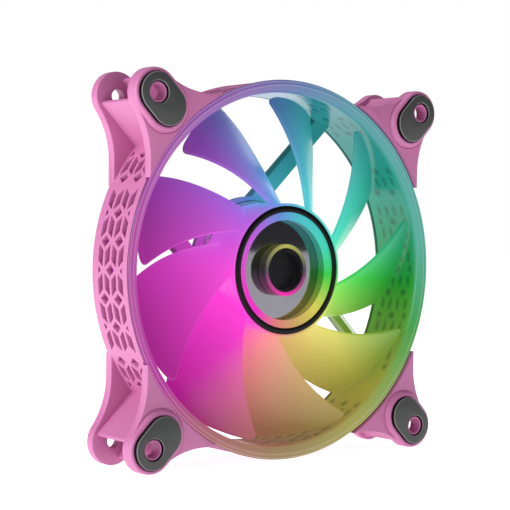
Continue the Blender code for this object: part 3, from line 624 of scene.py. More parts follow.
def layout():
    """One vertex for each opening, with its shape's number in the attribute kind."""
    wall = (BAND_INNER + BAND_OUTER) / 2
    rows = [(0, "one")]
    for sign in (-1, 1):
        rows += [(sign * ROW_STEP * i, row) for i, row in
                 enumerate(("slots", "two", "slots", "one", "slots"), start=1)]
        rows += [(sign * (CORNER_ROW + ROW_STEP * i), row) for i, row in
                 enumerate(("two", "slots", "one"))]
    points, kinds = [], []
    for side in range(4):
        for angle, row in rows:
            if row == "slots":
                towards_one = 1 if (abs(angle) < ROW_STEP * 1.5 or
                                    ROW_STEP * 4.5 < abs(angle)) else -1
                lean = towards_one if angle > 0 else -towards_one
                if abs(angle) > CORNER_ROW:
                    lean = -lean
                cells = [(i - 1.5, 0 if lean * (1 if i % 2 else -1) > 0 else 1) for i in range(4)]
            elif row == "two":
                cells = [(-1, 2), (1, 2)]
            else:
                cells = [(-2, 3), (0, 2), (2, 4)]
            for offset, kind in cells:
                about = radians(90 * side + angle)
                points.append((wall * cos(about), PATTERN_MIDDLE + offset * CELL, wall * sin(about)))
                kinds.append(kind)
    mesh = bpy.data.meshes.new("opening_layout")
    mesh.from_pydata(points, [], [])
    mesh.attributes.new("kind", "INT", "POINT").data.foreach_set("value", kinds)
    return mesh


def shape_collection(name, make):
    """The five shapes in a collection of their own, in the order of their numbers."""
    group = bpy.data.collections.new(name)
    bpy.context.scene.collection.children.link(group)
    for number, kind in enumerate(SHAPES):
        shape = make(kind)
        shape.name = f"{name}_{number}_{kind}"
        bpy.context.scene.collection.objects.unlink(shape)
        group.objects.link(shape)
    return group


def discard(group):
    for shape in list(group.objects):
        bpy.data.objects.remove(shape)
    bpy.data.collections.remove(group)


# %% Geometry Nodes helpers
GEOMETRY = "NodeSocketGeometry"


def place_shapes(tree, points, shapes):
    """Instances of numbered shapes on points round the axis, each facing outwards."""
    position = put(tree, "GeometryNodeInputPosition").outputs[0]
    where = put(tree, "ShaderNodeSeparateXYZ", {0: position})
    angle = calc(tree, "ARCTAN2", where.outputs["Z"], where.outputs["X"])
    turn = put(tree, "ShaderNodeCombineXYZ", {"Y": calc(tree, "MULTIPLY", angle, -1.0)})
    kind = put(tree, "GeometryNodeInputNamedAttribute", {"Name": "kind"}, data_type="INT")
    choice = put(tree, "GeometryNodeCollectionInfo", {
        "Collection": shapes, "Separate Children": True, "Reset Children": True})
    number = next(o for o in kind.outputs if o.name == "Attribute" and o.enabled)
    return put(tree, "GeometryNodeInstanceOnPoints", {
        "Points": points, "Instance": choice.outputs[0], "Pick Instance": True,
        "Instance Index": number, "Rotation": turn.outputs[0]}).outputs[0]


def end_tree(tree, geometry, given, out):
    """End a tree in real geometry that carries the finish it was given."""
    real = put(tree, "GeometryNodeRealizeInstances", {"Geometry": geometry})
    dressed = put(tree, "GeometryNodeSetMaterial", {
        "Geometry": real.outputs[0], "Material": given.outputs["Finish"]})
    tree.links.new(dressed.outputs[0], out.inputs["Geometry"])


def run_tree(piece, tree, **values):
    """Set a geometry tree's inputs by their names, run it and keep the plain mesh."""
    modifier = piece.modifiers.new("nodes", "NODES")
    modifier.node_group = tree
    ids = {item.name: item.identifier for item in tree.interface.items_tree
           if item.in_out == "INPUT"}
    for label, value in values.items():
        modifier[ids[label.replace("_", " ")]] = value
    return settle(piece)


# %% Cut the band
tree, given, out = group_tree(
    "perforate_band", "GeometryNodeTree",
    [("Layout", GEOMETRY), ("Band", "NodeSocketObject"), ("Cutters", "NodeSocketCollection"),
     ("Finish", "NodeSocketMaterial")],
    [("Geometry", GEOMETRY)])
ring = put(tree, "GeometryNodeObjectInfo", {"Object": given.outputs["Band"]})
cutters = place_shapes(tree, given.outputs["Layout"], given.outputs["Cutters"])
cut = put(tree, "GeometryNodeMeshBoolean", {"Mesh 1": ring.outputs["Geometry"], "Mesh 2": cutters},
          operation="DIFFERENCE", solver="EXACT")
end_tree(tree, cut.outputs[0], given, out)

blank = turned("band_blank", rounded([
    (BAND_OUTER, BAND_FRONT), (BAND_OUTER, BAND_REAR), (BAND_INNER, BAND_REAR),
    (BAND_INNER, BAND_FRONT)], 0.2 * MM, 2), steps=180)
shapes = shape_collection("cutters", cutter)
band = keep("case_frame", layout())
run_tree(band, tree, Band=blank, Cutters=shapes, Finish=PINK)
bpy.data.objects.remove(blank)
discard(shapes)
print("band:", len(band.data.polygons), "faces")

# %% [markdown]
# ## Corner plates, bosses and ribs
# Each corner has a front plate and a rear plate that end in a round lug, with two ribs between them. On
# the front plate a raised boss carries a rubber pad in a pocket, and a collar with a countersunk screw
# hole stands in the middle. A real mould rounds each of these edges, so every piece gets its rounded
# rims first, and the Boolean that joins them comes last: bevels on a joined mesh tend to tear.

# %% Corner plates
LUG_CENTRE, LUG_RADIUS = 52.5 * MM, 7.5 * MM
FLANK_X, FLANK_Z = 53.6 * MM, (25.5 * MM, 33.0 * MM)
FRONT, REAR = -12.5 * MM, 12.5 * MM
PLATE_FRONT, PLATE_BACK, REAR_PLATE = -11.0 * MM, -7.7 * MM, 9.2 * MM
RING_SEAT = 60.3 * MM
PAD_TAIL, PAD_RADIUS, PAD_HOLE = 48.8 * MM, 6.0 * MM, 3.4 * MM
HOLE_RADIUS, COLLAR_RADIUS = 2.15 * MM, 3.0 * MM
RIB_FACE, RIB_THICK, RIB_END = 6.0 * MM, 1.5 * MM, 76.6 * MM


def corner_outline():
    """Corner plate of the top right corner: flanks, concave fillets and the round lug."""
    lead = FLANK_X - LUG_CENTRE
    drop = LUG_CENTRE - FLANK_Z[1]
    fillet = (drop**2 + lead**2 - LUG_RADIUS**2) / (2 * (LUG_RADIUS - lead))
    centre = (FLANK_X + fillet, FLANK_Z[1])
    touch = degrees(atan2(drop, centre[0] - LUG_CENTRE))
    side = ([(FLANK_X, FLANK_Z[0])] + arc(centre, fillet, 180, 180 - touch, 14)
            + arc((LUG_CENTRE, LUG_CENTRE), LUG_RADIUS, -touch, 45, 18)[1:])
    mirrored = [(z, x) for x, z in reversed(side[:-1])]
    seat = (BAND_INNER + BAND_OUTER) / 2
    return side + mirrored + arc((0, 0), seat, 64.6, 25.4, 14)


def stadium(lug_radius, tail_radius, count=18):
    """A slot outline round a corner's hole, with its inner end nearer the fan's axis."""
    return (arc((LUG_CENTRE, LUG_CENTRE), lug_radius, -45, 135, count)
            + arc((PAD_TAIL, PAD_TAIL), tail_radius, 135, 315, count))


def corner_parts(corner):
    """Plates, boss and ribs of one corner, with their rims rounded."""
    outline = quarter(corner_outline(), corner)
    plates = [prism("plate", outline, PLATE_FRONT, PLATE_BACK, 0.35 * MM),
              prism("plate", outline, REAR_PLATE, REAR, 0.35 * MM)]
    ramp = [(-10.8, 7.46, 8.1), (-11.25, 7.46, 7.95), (-11.7, 7.42, 7.75), (-12.1, 7.33, 7.52),
            (-12.38, 7.15, 7.28), (-12.5, 6.9, 7.02)]
    plates.append(loft("boss", [(y * MM, quarter(stadium(a * MM, b * MM), corner))
                                for y, a, b in ramp]))
    diagonal = radians(45 - 90 * corner)
    start = (BAND_INNER + BAND_OUTER) / 2
    for side in (-1, 1):
        near, far = side * RIB_FACE, side * (RIB_FACE - RIB_THICK)
        box = [(start, near), (RIB_END, near), (RIB_END, far), (start, far)]
        c, s = cos(diagonal), sin(diagonal)
        flat = [(u * c - v * s, u * s + v * c) for u, v in rounded(box, [0, 0.5 * MM, 0.5 * MM, 0])]
        plates.append(prism("rib", flat, PLATE_BACK - 0.4 * MM, REAR_PLATE + 0.4 * MM))
    return plates


def screw_collar(top, rear, corner, mouth=2.6 * MM, sink=1.6 * MM):
    """A collar round a screw hole from top to rear, with the hole's mouth opened as a cone."""
    way = 1 if rear > top else -1
    profile = rounded([(COLLAR_RADIUS, rear), (COLLAR_RADIUS, top), (mouth, top),
                       (HOLE_RADIUS, top + way * sink), (HOLE_RADIUS, rear)],
                      [0, 0.2 * MM, 0.12 * MM, 0, 0])
    return at_lug(turned("collar", profile, steps=48), corner)


def at_lug(piece, corner):
    """Move a piece turned about Y to a corner's hole."""
    x, z = quarter([(LUG_CENTRE, LUG_CENTRE)], corner)[0]
    piece.data.transform(Matrix.Translation((x, 0, z)))
    return piece


def pocket_cutter(corner, floor, mouth):
    """The pad's pocket, opened a little at the rim."""
    way = 1 if floor > mouth else -1
    radius, flare = PAD_RADIUS + 0.32 * MM, 0.22 * MM
    sections = [(floor, radius), (mouth + way * flare, radius), (mouth - way * flare, radius + 2 * flare)]
    return loft("pocket", [(y, quarter(stadium(r, r), corner)) for y, r in sections])


def crease(corner):
    """A fine V-shaped groove round the inner end of a boss."""
    profile = [(7.75, 8.05, -11.3), (8.05, 8.5, -11.3), (7.85, 8.2, -10.72)]
    work = bmesh.new()
    skin_rows(work, [[(x, y * MM, z) for x, z in quarter(stadium(a * MM, b * MM), corner)]
                     for a, b, y in profile], along=True)
    return from_bmesh("crease", work)


def plain_cylinder(radius, front, rear, steps=48):
    return turned("drill", [(0, front), (radius, front), (radius, rear), (0, rear)], steps=steps)


# %% Join the frame
joined, pockets, collars, creases = [], [], [], []
POCKET = 0.8 * MM
for corner in range(4):
    joined += corner_parts(corner)
    pockets += [pocket_cutter(corner, FRONT + POCKET, FRONT), pocket_cutter(corner, REAR - POCKET, REAR)]
    pockets.append(at_lug(plain_cylinder(2.5 * MM, FRONT - MM, REAR + MM), corner))
    pockets.append(at_lug(plain_cylinder(3.2 * MM, PLATE_BACK - 1.2 * MM, PLATE_BACK + MM), corner))
    collars += [screw_collar(FRONT - 0.5 * MM, PLATE_BACK - 1.3 * MM, corner),
                screw_collar(REAR + 0.5 * MM, REAR_PLATE + 0.1 * MM, corner)]
    creases.append(crease(corner))
pockets.append(plain_cylinder(RING_SEAT, FRONT - MM, BAND_FRONT + 0.02 * MM, steps=240))
combine(band, "UNION", joined)
combine(band, "DIFFERENCE", pockets)
combine(band, "DIFFERENCE", creases)
combine(band, "UNION", collars)
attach(band, "housing")
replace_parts(band, "frame")
print("frame:", len(band.data.polygons), "faces")

# %% [markdown]
# ## Rubber pads
# The pads keep the fan's hum out of the case. Each is a flat slot of soft rubber with a rolled rim and
# a hole for the screw collar. The hole's edge is rolled too, so its cutter is a turned spool that gets
# wider at both faces.

# %% Pads
def pad(name, corner, seat, face):
    """One pad between its seat and its outer face."""
    front, rear = min(seat, face), max(seat, face)
    body = prism(name, quarter(stadium(PAD_RADIUS, PAD_RADIUS, 24), corner), front, rear, 0.28 * MM,
                 RUBBER, steps=3)
    spool = [(0, front - MM), (PAD_HOLE + MM, front - MM), (PAD_HOLE + 0.2 * MM, front),
             (PAD_HOLE, front + 0.25 * MM), (PAD_HOLE, rear - 0.25 * MM), (PAD_HOLE + 0.2 * MM, rear),
             (PAD_HOLE + MM, rear + MM), (0, rear + MM)]
    combine(body, "DIFFERENCE", [at_lug(turned("spool", spool, steps=56), corner)])
    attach(body, "housing")
    return body


for corner, place in enumerate(CORNERS):
    for side, sign in (("front", -1), ("rear", 1)):
        seat, face = sign * 12.0 * MM, sign * 13.6 * MM
        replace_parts(pad(f"{side}_pad_{place}_rubber", corner, seat, face), f"{side}_pad_{place}")
print("pads: 8")

# %% [markdown]
# ## Duct
# The clear duct is one moulding: a front ring with a bell mouth, the tube, four struts and the tray that
# holds the motor. The ring and tube are one turned profile. Behind each of the frame's openings the
# tube's wall gets painted shade, a soft dark mark where no pink frame sends light back through the wall,
# so the wall needs to know where the openings are. Geometry Nodes measures, for each point of the wall,
# how far it is from the nearest opening and stores that as an attribute named window, which the
# material reads as painted shade. The wall has a dense grid of points to carry it.

# %% Duct shell
DUCT_BORE, DUCT_OUTER, DUCT_REAR = 56.0 * MM, 57.2 * MM, 12.2 * MM
RING_OUTER = 59.98 * MM
RING_CREST, RING_FRONT = 58.7 * MM, -10.0 * MM
MOUTH_END = -7.4 * MM
STRUT_NORMAL = 44.5
TRAY_RADIUS, TRAY_WALL = 23.5 * MM, 1.2 * MM
TRAY_FRONT, TRAY_FLOOR, LABEL_SEAT, STRUT_REAR = 8.3 * MM, 11.1 * MM, 11.9 * MM, 12.4 * MM
LABEL_RADIUS = 20.6 * MM

outside = rounded([
    (DUCT_BORE + 0.1 * MM, DUCT_REAR), (DUCT_OUTER, DUCT_REAR), (DUCT_OUTER, -8.9 * MM),
    (RING_OUTER, -8.9 * MM), (RING_OUTER, -9.45 * MM), (59.7 * MM, -9.85 * MM),
    (59.2 * MM, -9.95 * MM), (59.0 * MM, -9.75 * MM)],
    [0.3 * MM, 0.3 * MM, 0, 0.1 * MM, 0.2 * MM, 0.15 * MM, 0.15 * MM, 0.05 * MM], 2)
crest = [(RING_CREST - (RING_CREST - DUCT_BORE) * sin(a), MOUTH_END - (MOUTH_END - RING_FRONT) * cos(a))
         for a in (radians(90 * i / 12) for i in range(13))]
wall_steps = 28
wall = [(DUCT_BORE, MOUTH_END + (10.5 * MM - MOUTH_END) * i / wall_steps)
        for i in range(1, wall_steps + 1)]
groove = [(DUCT_BORE + 0.4 * MM, 10.7 * MM), (DUCT_BORE + 0.4 * MM, 11.15 * MM),
          (DUCT_BORE, 11.3 * MM), (DUCT_BORE, 11.9 * MM)]
duct = turned("clear_duct", outside + [Vector(p) for p in crest + wall + groove], DUCT, steps=360)

# %% [markdown]
# The struts lean across the duct as the blades pass, so that no blade meets a whole strut at once. A
# strut is a section swept along a straight line: an upright inner face, a narrow flat front, and a long
# slope down to the rear edge. The section's corners are rounded before it is swept.

# %% Struts and tray
def strut(number):
    """One strut from the tray to the duct's wall."""
    section = rounded([(12.6 * MM, 12.4 * MM), (12.6 * MM, 8.2 * MM), (14.6 * MM, 8.2 * MM),
                       (17.9 * MM, 11.8 * MM), (17.9 * MM, 12.4 * MM)], 0.35 * MM, 3)
    normal = radians(STRUT_NORMAL - 90 * number)
    outward = Vector((cos(normal), 0, sin(normal)))
    along = Vector((sin(normal), 0, -cos(normal)))
    return bar("strut", [[outward * u + along * reach + Vector((0, y, 0)) for u, y in section]
                         for reach in (13 * MM, DUCT_OUTER)])


struts = [strut(k) for k in range(4)]
clearance = plain_cylinder(TRAY_RADIUS - TRAY_WALL / 2, 0, 20 * MM, 144)
reach = plain_cylinder((DUCT_BORE + DUCT_OUTER) / 2, 0, 20 * MM, 360)
for piece in struts:
    for operation, tool in (("DIFFERENCE", clearance), ("INTERSECT", reach)):
        modifier = piece.modifiers.new("trim", "BOOLEAN")
        modifier.operation, modifier.object, modifier.solver = operation, tool, "EXACT"
    settle(piece)
for tool in (clearance, reach):
    bpy.data.objects.remove(tool)

inner = TRAY_RADIUS - TRAY_WALL
socket = 4.9 * MM
tray = turned("tray", [(0, TRAY_FLOOR)] + rounded([
    (socket, TRAY_FLOOR), (socket, TRAY_FLOOR - 1.2 * MM), (socket + MM, TRAY_FLOOR - 1.2 * MM),
    (socket + MM, TRAY_FLOOR), (inner, TRAY_FLOOR), (inner, TRAY_FRONT), (TRAY_RADIUS, TRAY_FRONT),
    (TRAY_RADIUS, STRUT_REAR), (LABEL_RADIUS + 0.3 * MM, STRUT_REAR),
    (LABEL_RADIUS + 0.3 * MM, LABEL_SEAT)], 0.25 * MM)[2:-2] + [
        (LABEL_RADIUS + 0.3 * MM, LABEL_SEAT), (0, LABEL_SEAT)], steps=144)
combine(duct, "UNION", struts + [tray])

outlet = Vector((cos(radians(225)), 0, sin(radians(225))))
around = Vector((-outlet.z, 0, outlet.x))
OUTLET_RADIUS = TRAY_RADIUS - TRAY_WALL / 2


def outlet_box(name, size, radius, depth, material=None):
    """A box with rounded edges at the place where the cable leaves the tray."""
    work = bmesh.new()
    bmesh.ops.create_cube(work, size=1.0, matrix=Matrix.Diagonal((*size, 1)))
    bmesh.ops.bevel(work, geom=work.edges[:], offset=0.2 * MM, segments=2, affect="EDGES")
    turn = Matrix((outlet, (0, 1, 0), around)).transposed().to_4x4()
    place = Matrix.Translation(outlet * radius + Vector((0, depth, 0))) @ turn
    bmesh.ops.transform(work, verts=work.verts, matrix=place)
    return smooth(from_bmesh(name, work, material))


combine(duct, "DIFFERENCE", [outlet_box("notch", (4 * MM, 4.8 * MM, 5.4 * MM), OUTLET_RADIUS, TRAY_FRONT)])
print("duct:", len(duct.data.polygons), "faces")

# %% Painted shade behind the openings, on the duct's wall
def opening_shade_patch(kind):
    """A small flat patch, where an opening shows through the wall and gets painted shade."""
    scale = (0.22, 0.62) if kind.startswith("slot") else (0.6, 0.6)
    work = bmesh.new()
    work.faces.new([work.verts.new((0, y, z)) for y, z in opening_outline(kind, scale)])
    return from_bmesh(kind, work)


tree, given, out = group_tree(
    "mark_windows", "GeometryNodeTree",
    [("Geometry", GEOMETRY), ("Layout", "NodeSocketObject"), ("Patches", "NodeSocketCollection"),
     ("Wall Radius", FLOAT, 0.0588), ("Blur", FLOAT, 0.0006), ("Finish", "NodeSocketMaterial")],
    [("Geometry", GEOMETRY)])
spots = put(tree, "GeometryNodeObjectInfo", {"Object": given.outputs["Layout"]})
patches = put(tree, "GeometryNodeRealizeInstances", {"Geometry": place_shapes(
    tree, spots.outputs["Geometry"], given.outputs["Patches"])})
position = put(tree, "GeometryNodeInputPosition").outputs[0]
part = put(tree, "ShaderNodeSeparateXYZ", {0: position})
flat = put(tree, "ShaderNodeCombineXYZ", {"X": part.outputs["X"], "Z": part.outputs["Z"]})
length = put(tree, "ShaderNodeVectorMath", {0: flat.outputs[0]}, operation="LENGTH")
outward = put(tree, "ShaderNodeVectorMath", {
    0: flat.outputs[0], "Scale": calc(tree, "DIVIDE", given.outputs["Wall Radius"],
                                      length.outputs["Value"])}, operation="SCALE")
lifted = put(tree, "ShaderNodeVectorMath", {
    0: outward.outputs[0], 1: put(tree, "ShaderNodeCombineXYZ", {"Y": part.outputs["Y"]}).outputs[0]},
    operation="ADD")
nearest = put(tree, "GeometryNodeProximity", {
    0: patches.outputs[0], "Sample Position": lifted.outputs[0]}, target_element="FACES")
mark = spread(tree, nearest.outputs["Distance"], 0.0, given.outputs["Blur"], 1.0, 0.0)
on_wall = calc(tree, "MULTIPLY", calc(tree, "GREATER_THAN", length.outputs["Value"], 55 * MM),
               calc(tree, "LESS_THAN", length.outputs["Value"], 56.5 * MM))
# store the painted shade mask behind the openings on the wall's points
stored = put(tree, "GeometryNodeStoreNamedAttribute", {
    "Geometry": given.outputs["Geometry"], "Name": "window",
    "Value": calc(tree, "MULTIPLY", mark, on_wall)},
    data_type="FLOAT", domain="POINT")
end_tree(tree, stored.outputs[0], given, out)

spots = keep("opening_spots", layout())
shapes = shape_collection("patches", opening_shade_patch)
run_tree(duct, tree, Layout=spots, Patches=shapes, Wall_Radius=0.0588, Blur=0.7 * MM, Finish=DUCT)
bpy.data.objects.remove(spots)
discard(shapes)
smooth(duct)
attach(duct, "housing")
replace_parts(duct, "inner_duct")
print("windows marked on", len(duct.data.vertices), "points")

# %% [markdown]
# ## Impeller
# Nine swept blades follow one rule, so they are a Geometry Nodes tree with the blade's measures as its
# inputs. It starts from a flat grid: one direction of the grid runs from the hub to the tip and the
# other from the front edge to the rear edge. Each edge has its own sweep angle and depth, and a point
# between them takes a share of both. One blade is then set nine times round the axis. The blade is only
# a surface at this point; a Solidify and a Bevel modifier give it its thickness and round edges.

# %% Blade tree
HUB_RADIUS, HUB_FRONT, HUB_REAR = 21.2 * MM, -8.9 * MM, 7.0 * MM
BLADE_TIP, BLADE_COUNT, BLADE_THICKNESS = 54.6 * MM, 9, 1.2 * MM
tree, given, out = group_tree(
    "swept_blades", "GeometryNodeTree",
    [("Geometry", GEOMETRY), ("Blades", "NodeSocketInt", 9), ("Hub Radius", FLOAT, HUB_RADIUS),
     ("Tip Radius", FLOAT, BLADE_TIP), ("Front Angle", FLOAT, 104.2), ("Front Sweep", FLOAT, 35.2),
     ("Rear Angle", FLOAT, 77.5), ("Rear Sweep", FLOAT, 31.3), ("Camber", FLOAT, 0.0012),
     ("Corner", FLOAT, 0.002), ("Finish", "NodeSocketMaterial")],
    [("Geometry", GEOMETRY)])
grid = put(tree, "GeometryNodeMeshGrid", {"Size X": 1.0, "Size Y": 1.0, "Vertices X": 17,
                                          "Vertices Y": 29})
spot = put(tree, "ShaderNodeSeparateXYZ", {0: put(tree, "GeometryNodeInputPosition").outputs[0]})
across = calc(tree, "POWER", calc(tree, "ADD", spot.outputs["X"], 0.5, clamp=True), 1.3)
along = calc(tree, "ADD", spot.outputs["Y"], 0.5, clamp=True)
root = calc(tree, "SUBTRACT", given.outputs["Hub Radius"], 0.7 * MM)
# the tip's front corner is rounded: the reach drops off where the chord share is near nought
near = calc(tree, "SUBTRACT", 1.0, calc(tree, "DIVIDE", calc(tree, "MULTIPLY", across, 12 * MM),
                                        given.outputs["Corner"]), clamp=True)
drop = calc(tree, "SUBTRACT", 1.0, calc(tree, "SQRT", calc(
    tree, "SUBTRACT", 1.0, calc(tree, "MULTIPLY", near, near))))
tip = calc(tree, "SUBTRACT", given.outputs["Tip Radius"],
           calc(tree, "MULTIPLY", drop, given.outputs["Corner"]))
radius = calc(tree, "ADD", root, calc(tree, "MULTIPLY", calc(tree, "SUBTRACT", tip, root), along))
share = calc(tree, "DIVIDE", calc(tree, "SUBTRACT", radius, given.outputs["Hub Radius"]),
             calc(tree, "SUBTRACT", given.outputs["Tip Radius"], given.outputs["Hub Radius"]),
             clamp=True)


def blend_edges(front, rear):
    """A value between the front edge's and the rear edge's, by the share across."""
    return calc(tree, "ADD", front, calc(tree, "MULTIPLY", calc(tree, "SUBTRACT", rear, front), across))


def swept(angle, sweep, power):
    return calc(tree, "RADIANS", calc(tree, "ADD", angle, calc(
        tree, "MULTIPLY", sweep, calc(tree, "POWER", share, power))))


angle = blend_edges(swept(given.outputs["Front Angle"], given.outputs["Front Sweep"], 0.72),
                    swept(given.outputs["Rear Angle"], given.outputs["Rear Sweep"], 0.80))
front_depth = calc(tree, "ADD", -6.8 * MM, calc(tree, "MULTIPLY", share, -1.4 * MM))
rise = calc(tree, "SINE", calc(tree, "MULTIPLY", calc(tree, "DIVIDE", share, 0.6, clamp=True), pi / 2))
rear_depth = calc(tree, "ADD", 1.5 * MM, calc(tree, "MULTIPLY", rise, 5.2 * MM))
bow = calc(tree, "MULTIPLY", calc(tree, "MULTIPLY", across, calc(tree, "SUBTRACT", 1.0, across)),
           calc(tree, "MULTIPLY", given.outputs["Camber"], 4.0))
depth = calc(tree, "SUBTRACT", blend_edges(front_depth, rear_depth), bow)
moved = put(tree, "ShaderNodeCombineXYZ", {
    "X": calc(tree, "MULTIPLY", radius, calc(tree, "COSINE", angle)), "Y": depth,
    "Z": calc(tree, "MULTIPLY", radius, calc(tree, "SINE", angle))})
blade = put(tree, "GeometryNodeSetPosition", {
    "Geometry": grid.outputs["Mesh"], "Position": moved.outputs[0]})
hubs = put(tree, "GeometryNodePoints", {"Count": given.outputs["Blades"]})
number = put(tree, "GeometryNodeInputIndex").outputs[0]
step = calc(tree, "DIVIDE", 2 * pi, given.outputs["Blades"])
turn = put(tree, "ShaderNodeCombineXYZ", {"Y": calc(tree, "MULTIPLY", calc(
    tree, "MULTIPLY", number, step), -1.0)})
copies = put(tree, "GeometryNodeInstanceOnPoints", {
    "Points": hubs.outputs[0], "Instance": blade.outputs[0], "Rotation": turn.outputs[0]})
end_tree(tree, copies.outputs[0], given, out)

blades = keep("blades", bpy.data.meshes.new("blades"))
run_tree(blades, tree, Blades=BLADE_COUNT, Hub_Radius=HUB_RADIUS, Tip_Radius=BLADE_TIP,
         Front_Angle=104.2, Front_Sweep=35.2, Rear_Angle=77.5, Rear_Sweep=31.3, Camber=1.2 * MM,
         Corner=2.0 * MM, Finish=BLADE)
skin = blades.modifiers.new("thickness", "SOLIDIFY")
skin.thickness, skin.offset, skin.use_even_offset = BLADE_THICKNESS, 0, True
soften = blades.modifiers.new("round", "BEVEL")
soften.width, soften.segments, soften.limit_method = 0.42 * MM, 3, "ANGLE"
soften.angle_limit = radians(50)
settle(blades)
print("blades:", len(blades.data.polygons), "faces")

# %% [markdown]
# The hub is a turned shell: a long outer wall, a web across it that carries the shaft, and a seat at the
# front for the mirror's bezel. It joins the blades with a Boolean, so that the rotor is one closed
# moulding with no hidden walls inside it.

# %% Hub shell
wall, rim, socket = HUB_RADIUS - 1.3 * MM, HUB_RADIUS - 0.5 * MM, 3.3 * MM
WEB_FRONT, WEB_REAR = -2.2 * MM, -1.2 * MM
profile = [(0, WEB_FRONT)] + rounded([
    (wall, WEB_FRONT), (wall, -8.3 * MM), (rim, -8.3 * MM), (rim, HUB_FRONT),
    (HUB_RADIUS, HUB_FRONT), (HUB_RADIUS, HUB_REAR), (wall, HUB_REAR), (wall, WEB_REAR),
    (socket + 1.2 * MM, WEB_REAR), (socket + 1.2 * MM, 0.2 * MM), (socket, 0.2 * MM),
    (socket, WEB_REAR)], [0.3 * MM, 0.1 * MM, 0.1 * MM, 0.12 * MM, 0.22 * MM, 0.5 * MM, 0.3 * MM]
    + [0.2 * MM] * 5) + [(0, WEB_REAR)]
rotor = turned("impeller_moulding", profile, BLADE, steps=180)
combine(rotor, "UNION", [blades])
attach(rotor, "rotor")
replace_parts(rotor, "impeller")
print("impeller:", len(rotor.data.polygons), "faces")

# %% [markdown]
# ## Infinity mirror
# The hub's face is a lamp between two mirrors: a smoked sheet in front, a ring of light round the edge
# and a dark mirror at the back, so the ring seems to go on into the hub. The ring, its wall and the
# centre tube are turned profiles. The back mirror is truly a mirror here: it reflects the ring's wall
# once, which is most of the effect, and the smoked sheet keeps the white studio out.

# %% Mirror finishes
# the centre tube's colours are painted reflections: magenta at the bottom, yellow at the top, dim at the
# sides, sent out as a glow
DIM, REFLECTED_MAGENTA, REFLECTED_YELLOW = (60, 60, 75), (230, 20, 165), (170, 170, 80)
TUBE_REFLECTIONS = [(-180, DIM), (-95, REFLECTED_MAGENTA), (0, DIM), (90, REFLECTED_YELLOW), (180, DIM)]


def glowing(name, stops, wall_share, step, glow, base_share=0.25, roughness=0.3):
    """A glowing ring: full light in front of the step's depth, and a share of it behind. On the mirror's
    light ring this is the lamp; on the centre tube it is painted reflection.
    """
    material = bpy.data.materials.new(name)
    material.use_nodes = True
    tree = material.node_tree
    shader = tree.nodes["Principled BSDF"]
    where = put(tree, "ShaderNodeTexCoord").outputs["Object"]
    about = put(tree, "ShaderNodeGroup", node_tree=polar)
    tree.links.new(where, about.inputs["Vector"])
    colour = angle_ramp(tree, about.outputs["Turn"], stops)
    surface = put(tree, "ShaderNodeGroup", node_tree=grain)
    surface.inputs["Roughness"].default_value = roughness
    tree.links.new(where, surface.inputs["Vector"])
    tree.links.new(colour, surface.inputs["Colour"])
    share = spread(tree, about.outputs["Depth"], step, step + 0.15 * MM, 1.0, wall_share)
    lit = mixed(tree, share, (0, 0, 0, 1), surface.outputs["Colour"])
    base = mixed(tree, 1.0, lit, (base_share,) * 3 + (1,), "MULTIPLY")
    tree.links.new(base, shader.inputs["Base Color"])
    tree.links.new(lit, shader.inputs["Emission Color"])
    tree.links.new(surface.outputs["Roughness"], shader.inputs["Roughness"])
    shader.inputs["Emission Strength"].default_value = glow
    return material


BEZEL = finish("bezel_gloss_black", (0.004, 0.003, 0.004, 1), 0.16, relief=0.000001, specular=0.18)
SMOKE = finish("smoked_sheet", (0.004, 0.004, 0.006, 1), 0.04, relief=0.0, specular=0.25)
SMOKE.node_tree.nodes["Principled BSDF"].inputs["Alpha"].default_value = 0.12
MIRROR = finish("back_mirror_dark", (0.42, 0.41, 0.46, 1), 0.03, metallic=1.0, relief=0.0, drift=0.02)
CUP = finish("cup_black", (0.006, 0.006, 0.008, 1), 0.3, relief=0.000002, specular=0.2)
GUIDE = glowing("mirror_light_ring", IN_MIRROR, 0.42, -7.85 * MM, 1.3)
TUBE = glowing("centre_tube_glow", TUBE_REFLECTIONS, 0.22, -8.0 * MM, 1.3)


# %% Mirror pieces
def hub_piece(name, node, profile, material, steps=144):
    piece = turned(name, profile, material, steps=steps)
    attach(piece, "rotor")
    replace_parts(piece, node)
    return piece


hub_piece("bezel", "bezel_ring", rounded([
    (18.5 * MM, -8.62 * MM), (18.35 * MM, -8.95 * MM), (20.35 * MM, -8.98 * MM),
    (20.42 * MM, -8.6 * MM)], [0.05 * MM, 0.14 * MM, 0.16 * MM, 0.05 * MM]), BEZEL, 180)
hub_piece("smoked_front", "mirror_lens", [(0, -8.55 * MM)] + rounded([
    (19.6 * MM, -8.55 * MM), (19.6 * MM, -8.35 * MM)], 0) + [(0, -8.35 * MM)], SMOKE)
hub_piece("light_guide", "light_ring", [
    (19.3 * MM, -4.6 * MM), (19.3 * MM, -8.3 * MM), (18.6 * MM, -8.3 * MM), (16.0 * MM, -8.0 * MM),
    (15.86 * MM, -7.92 * MM), (15.88 * MM, -7.8 * MM), (16.15 * MM, -7.74 * MM), (16.15 * MM, -4.6 * MM)],
    GUIDE, 180)
hub_piece("mirror_floor", "back_mirror", [
    (6.8 * MM, -4.3 * MM), (19.3 * MM, -4.3 * MM), (19.3 * MM, -3.8 * MM), (6.8 * MM, -3.8 * MM)],
    MIRROR)
hub_piece("tube_guide", "centre_tube", rounded([
    (8.25 * MM, -4.6 * MM), (8.25 * MM, -8.3 * MM), (7.05 * MM, -8.3 * MM), (7.05 * MM, -4.6 * MM)],
    [0, 0.2 * MM, 0.15 * MM, 0]), TUBE, 96)
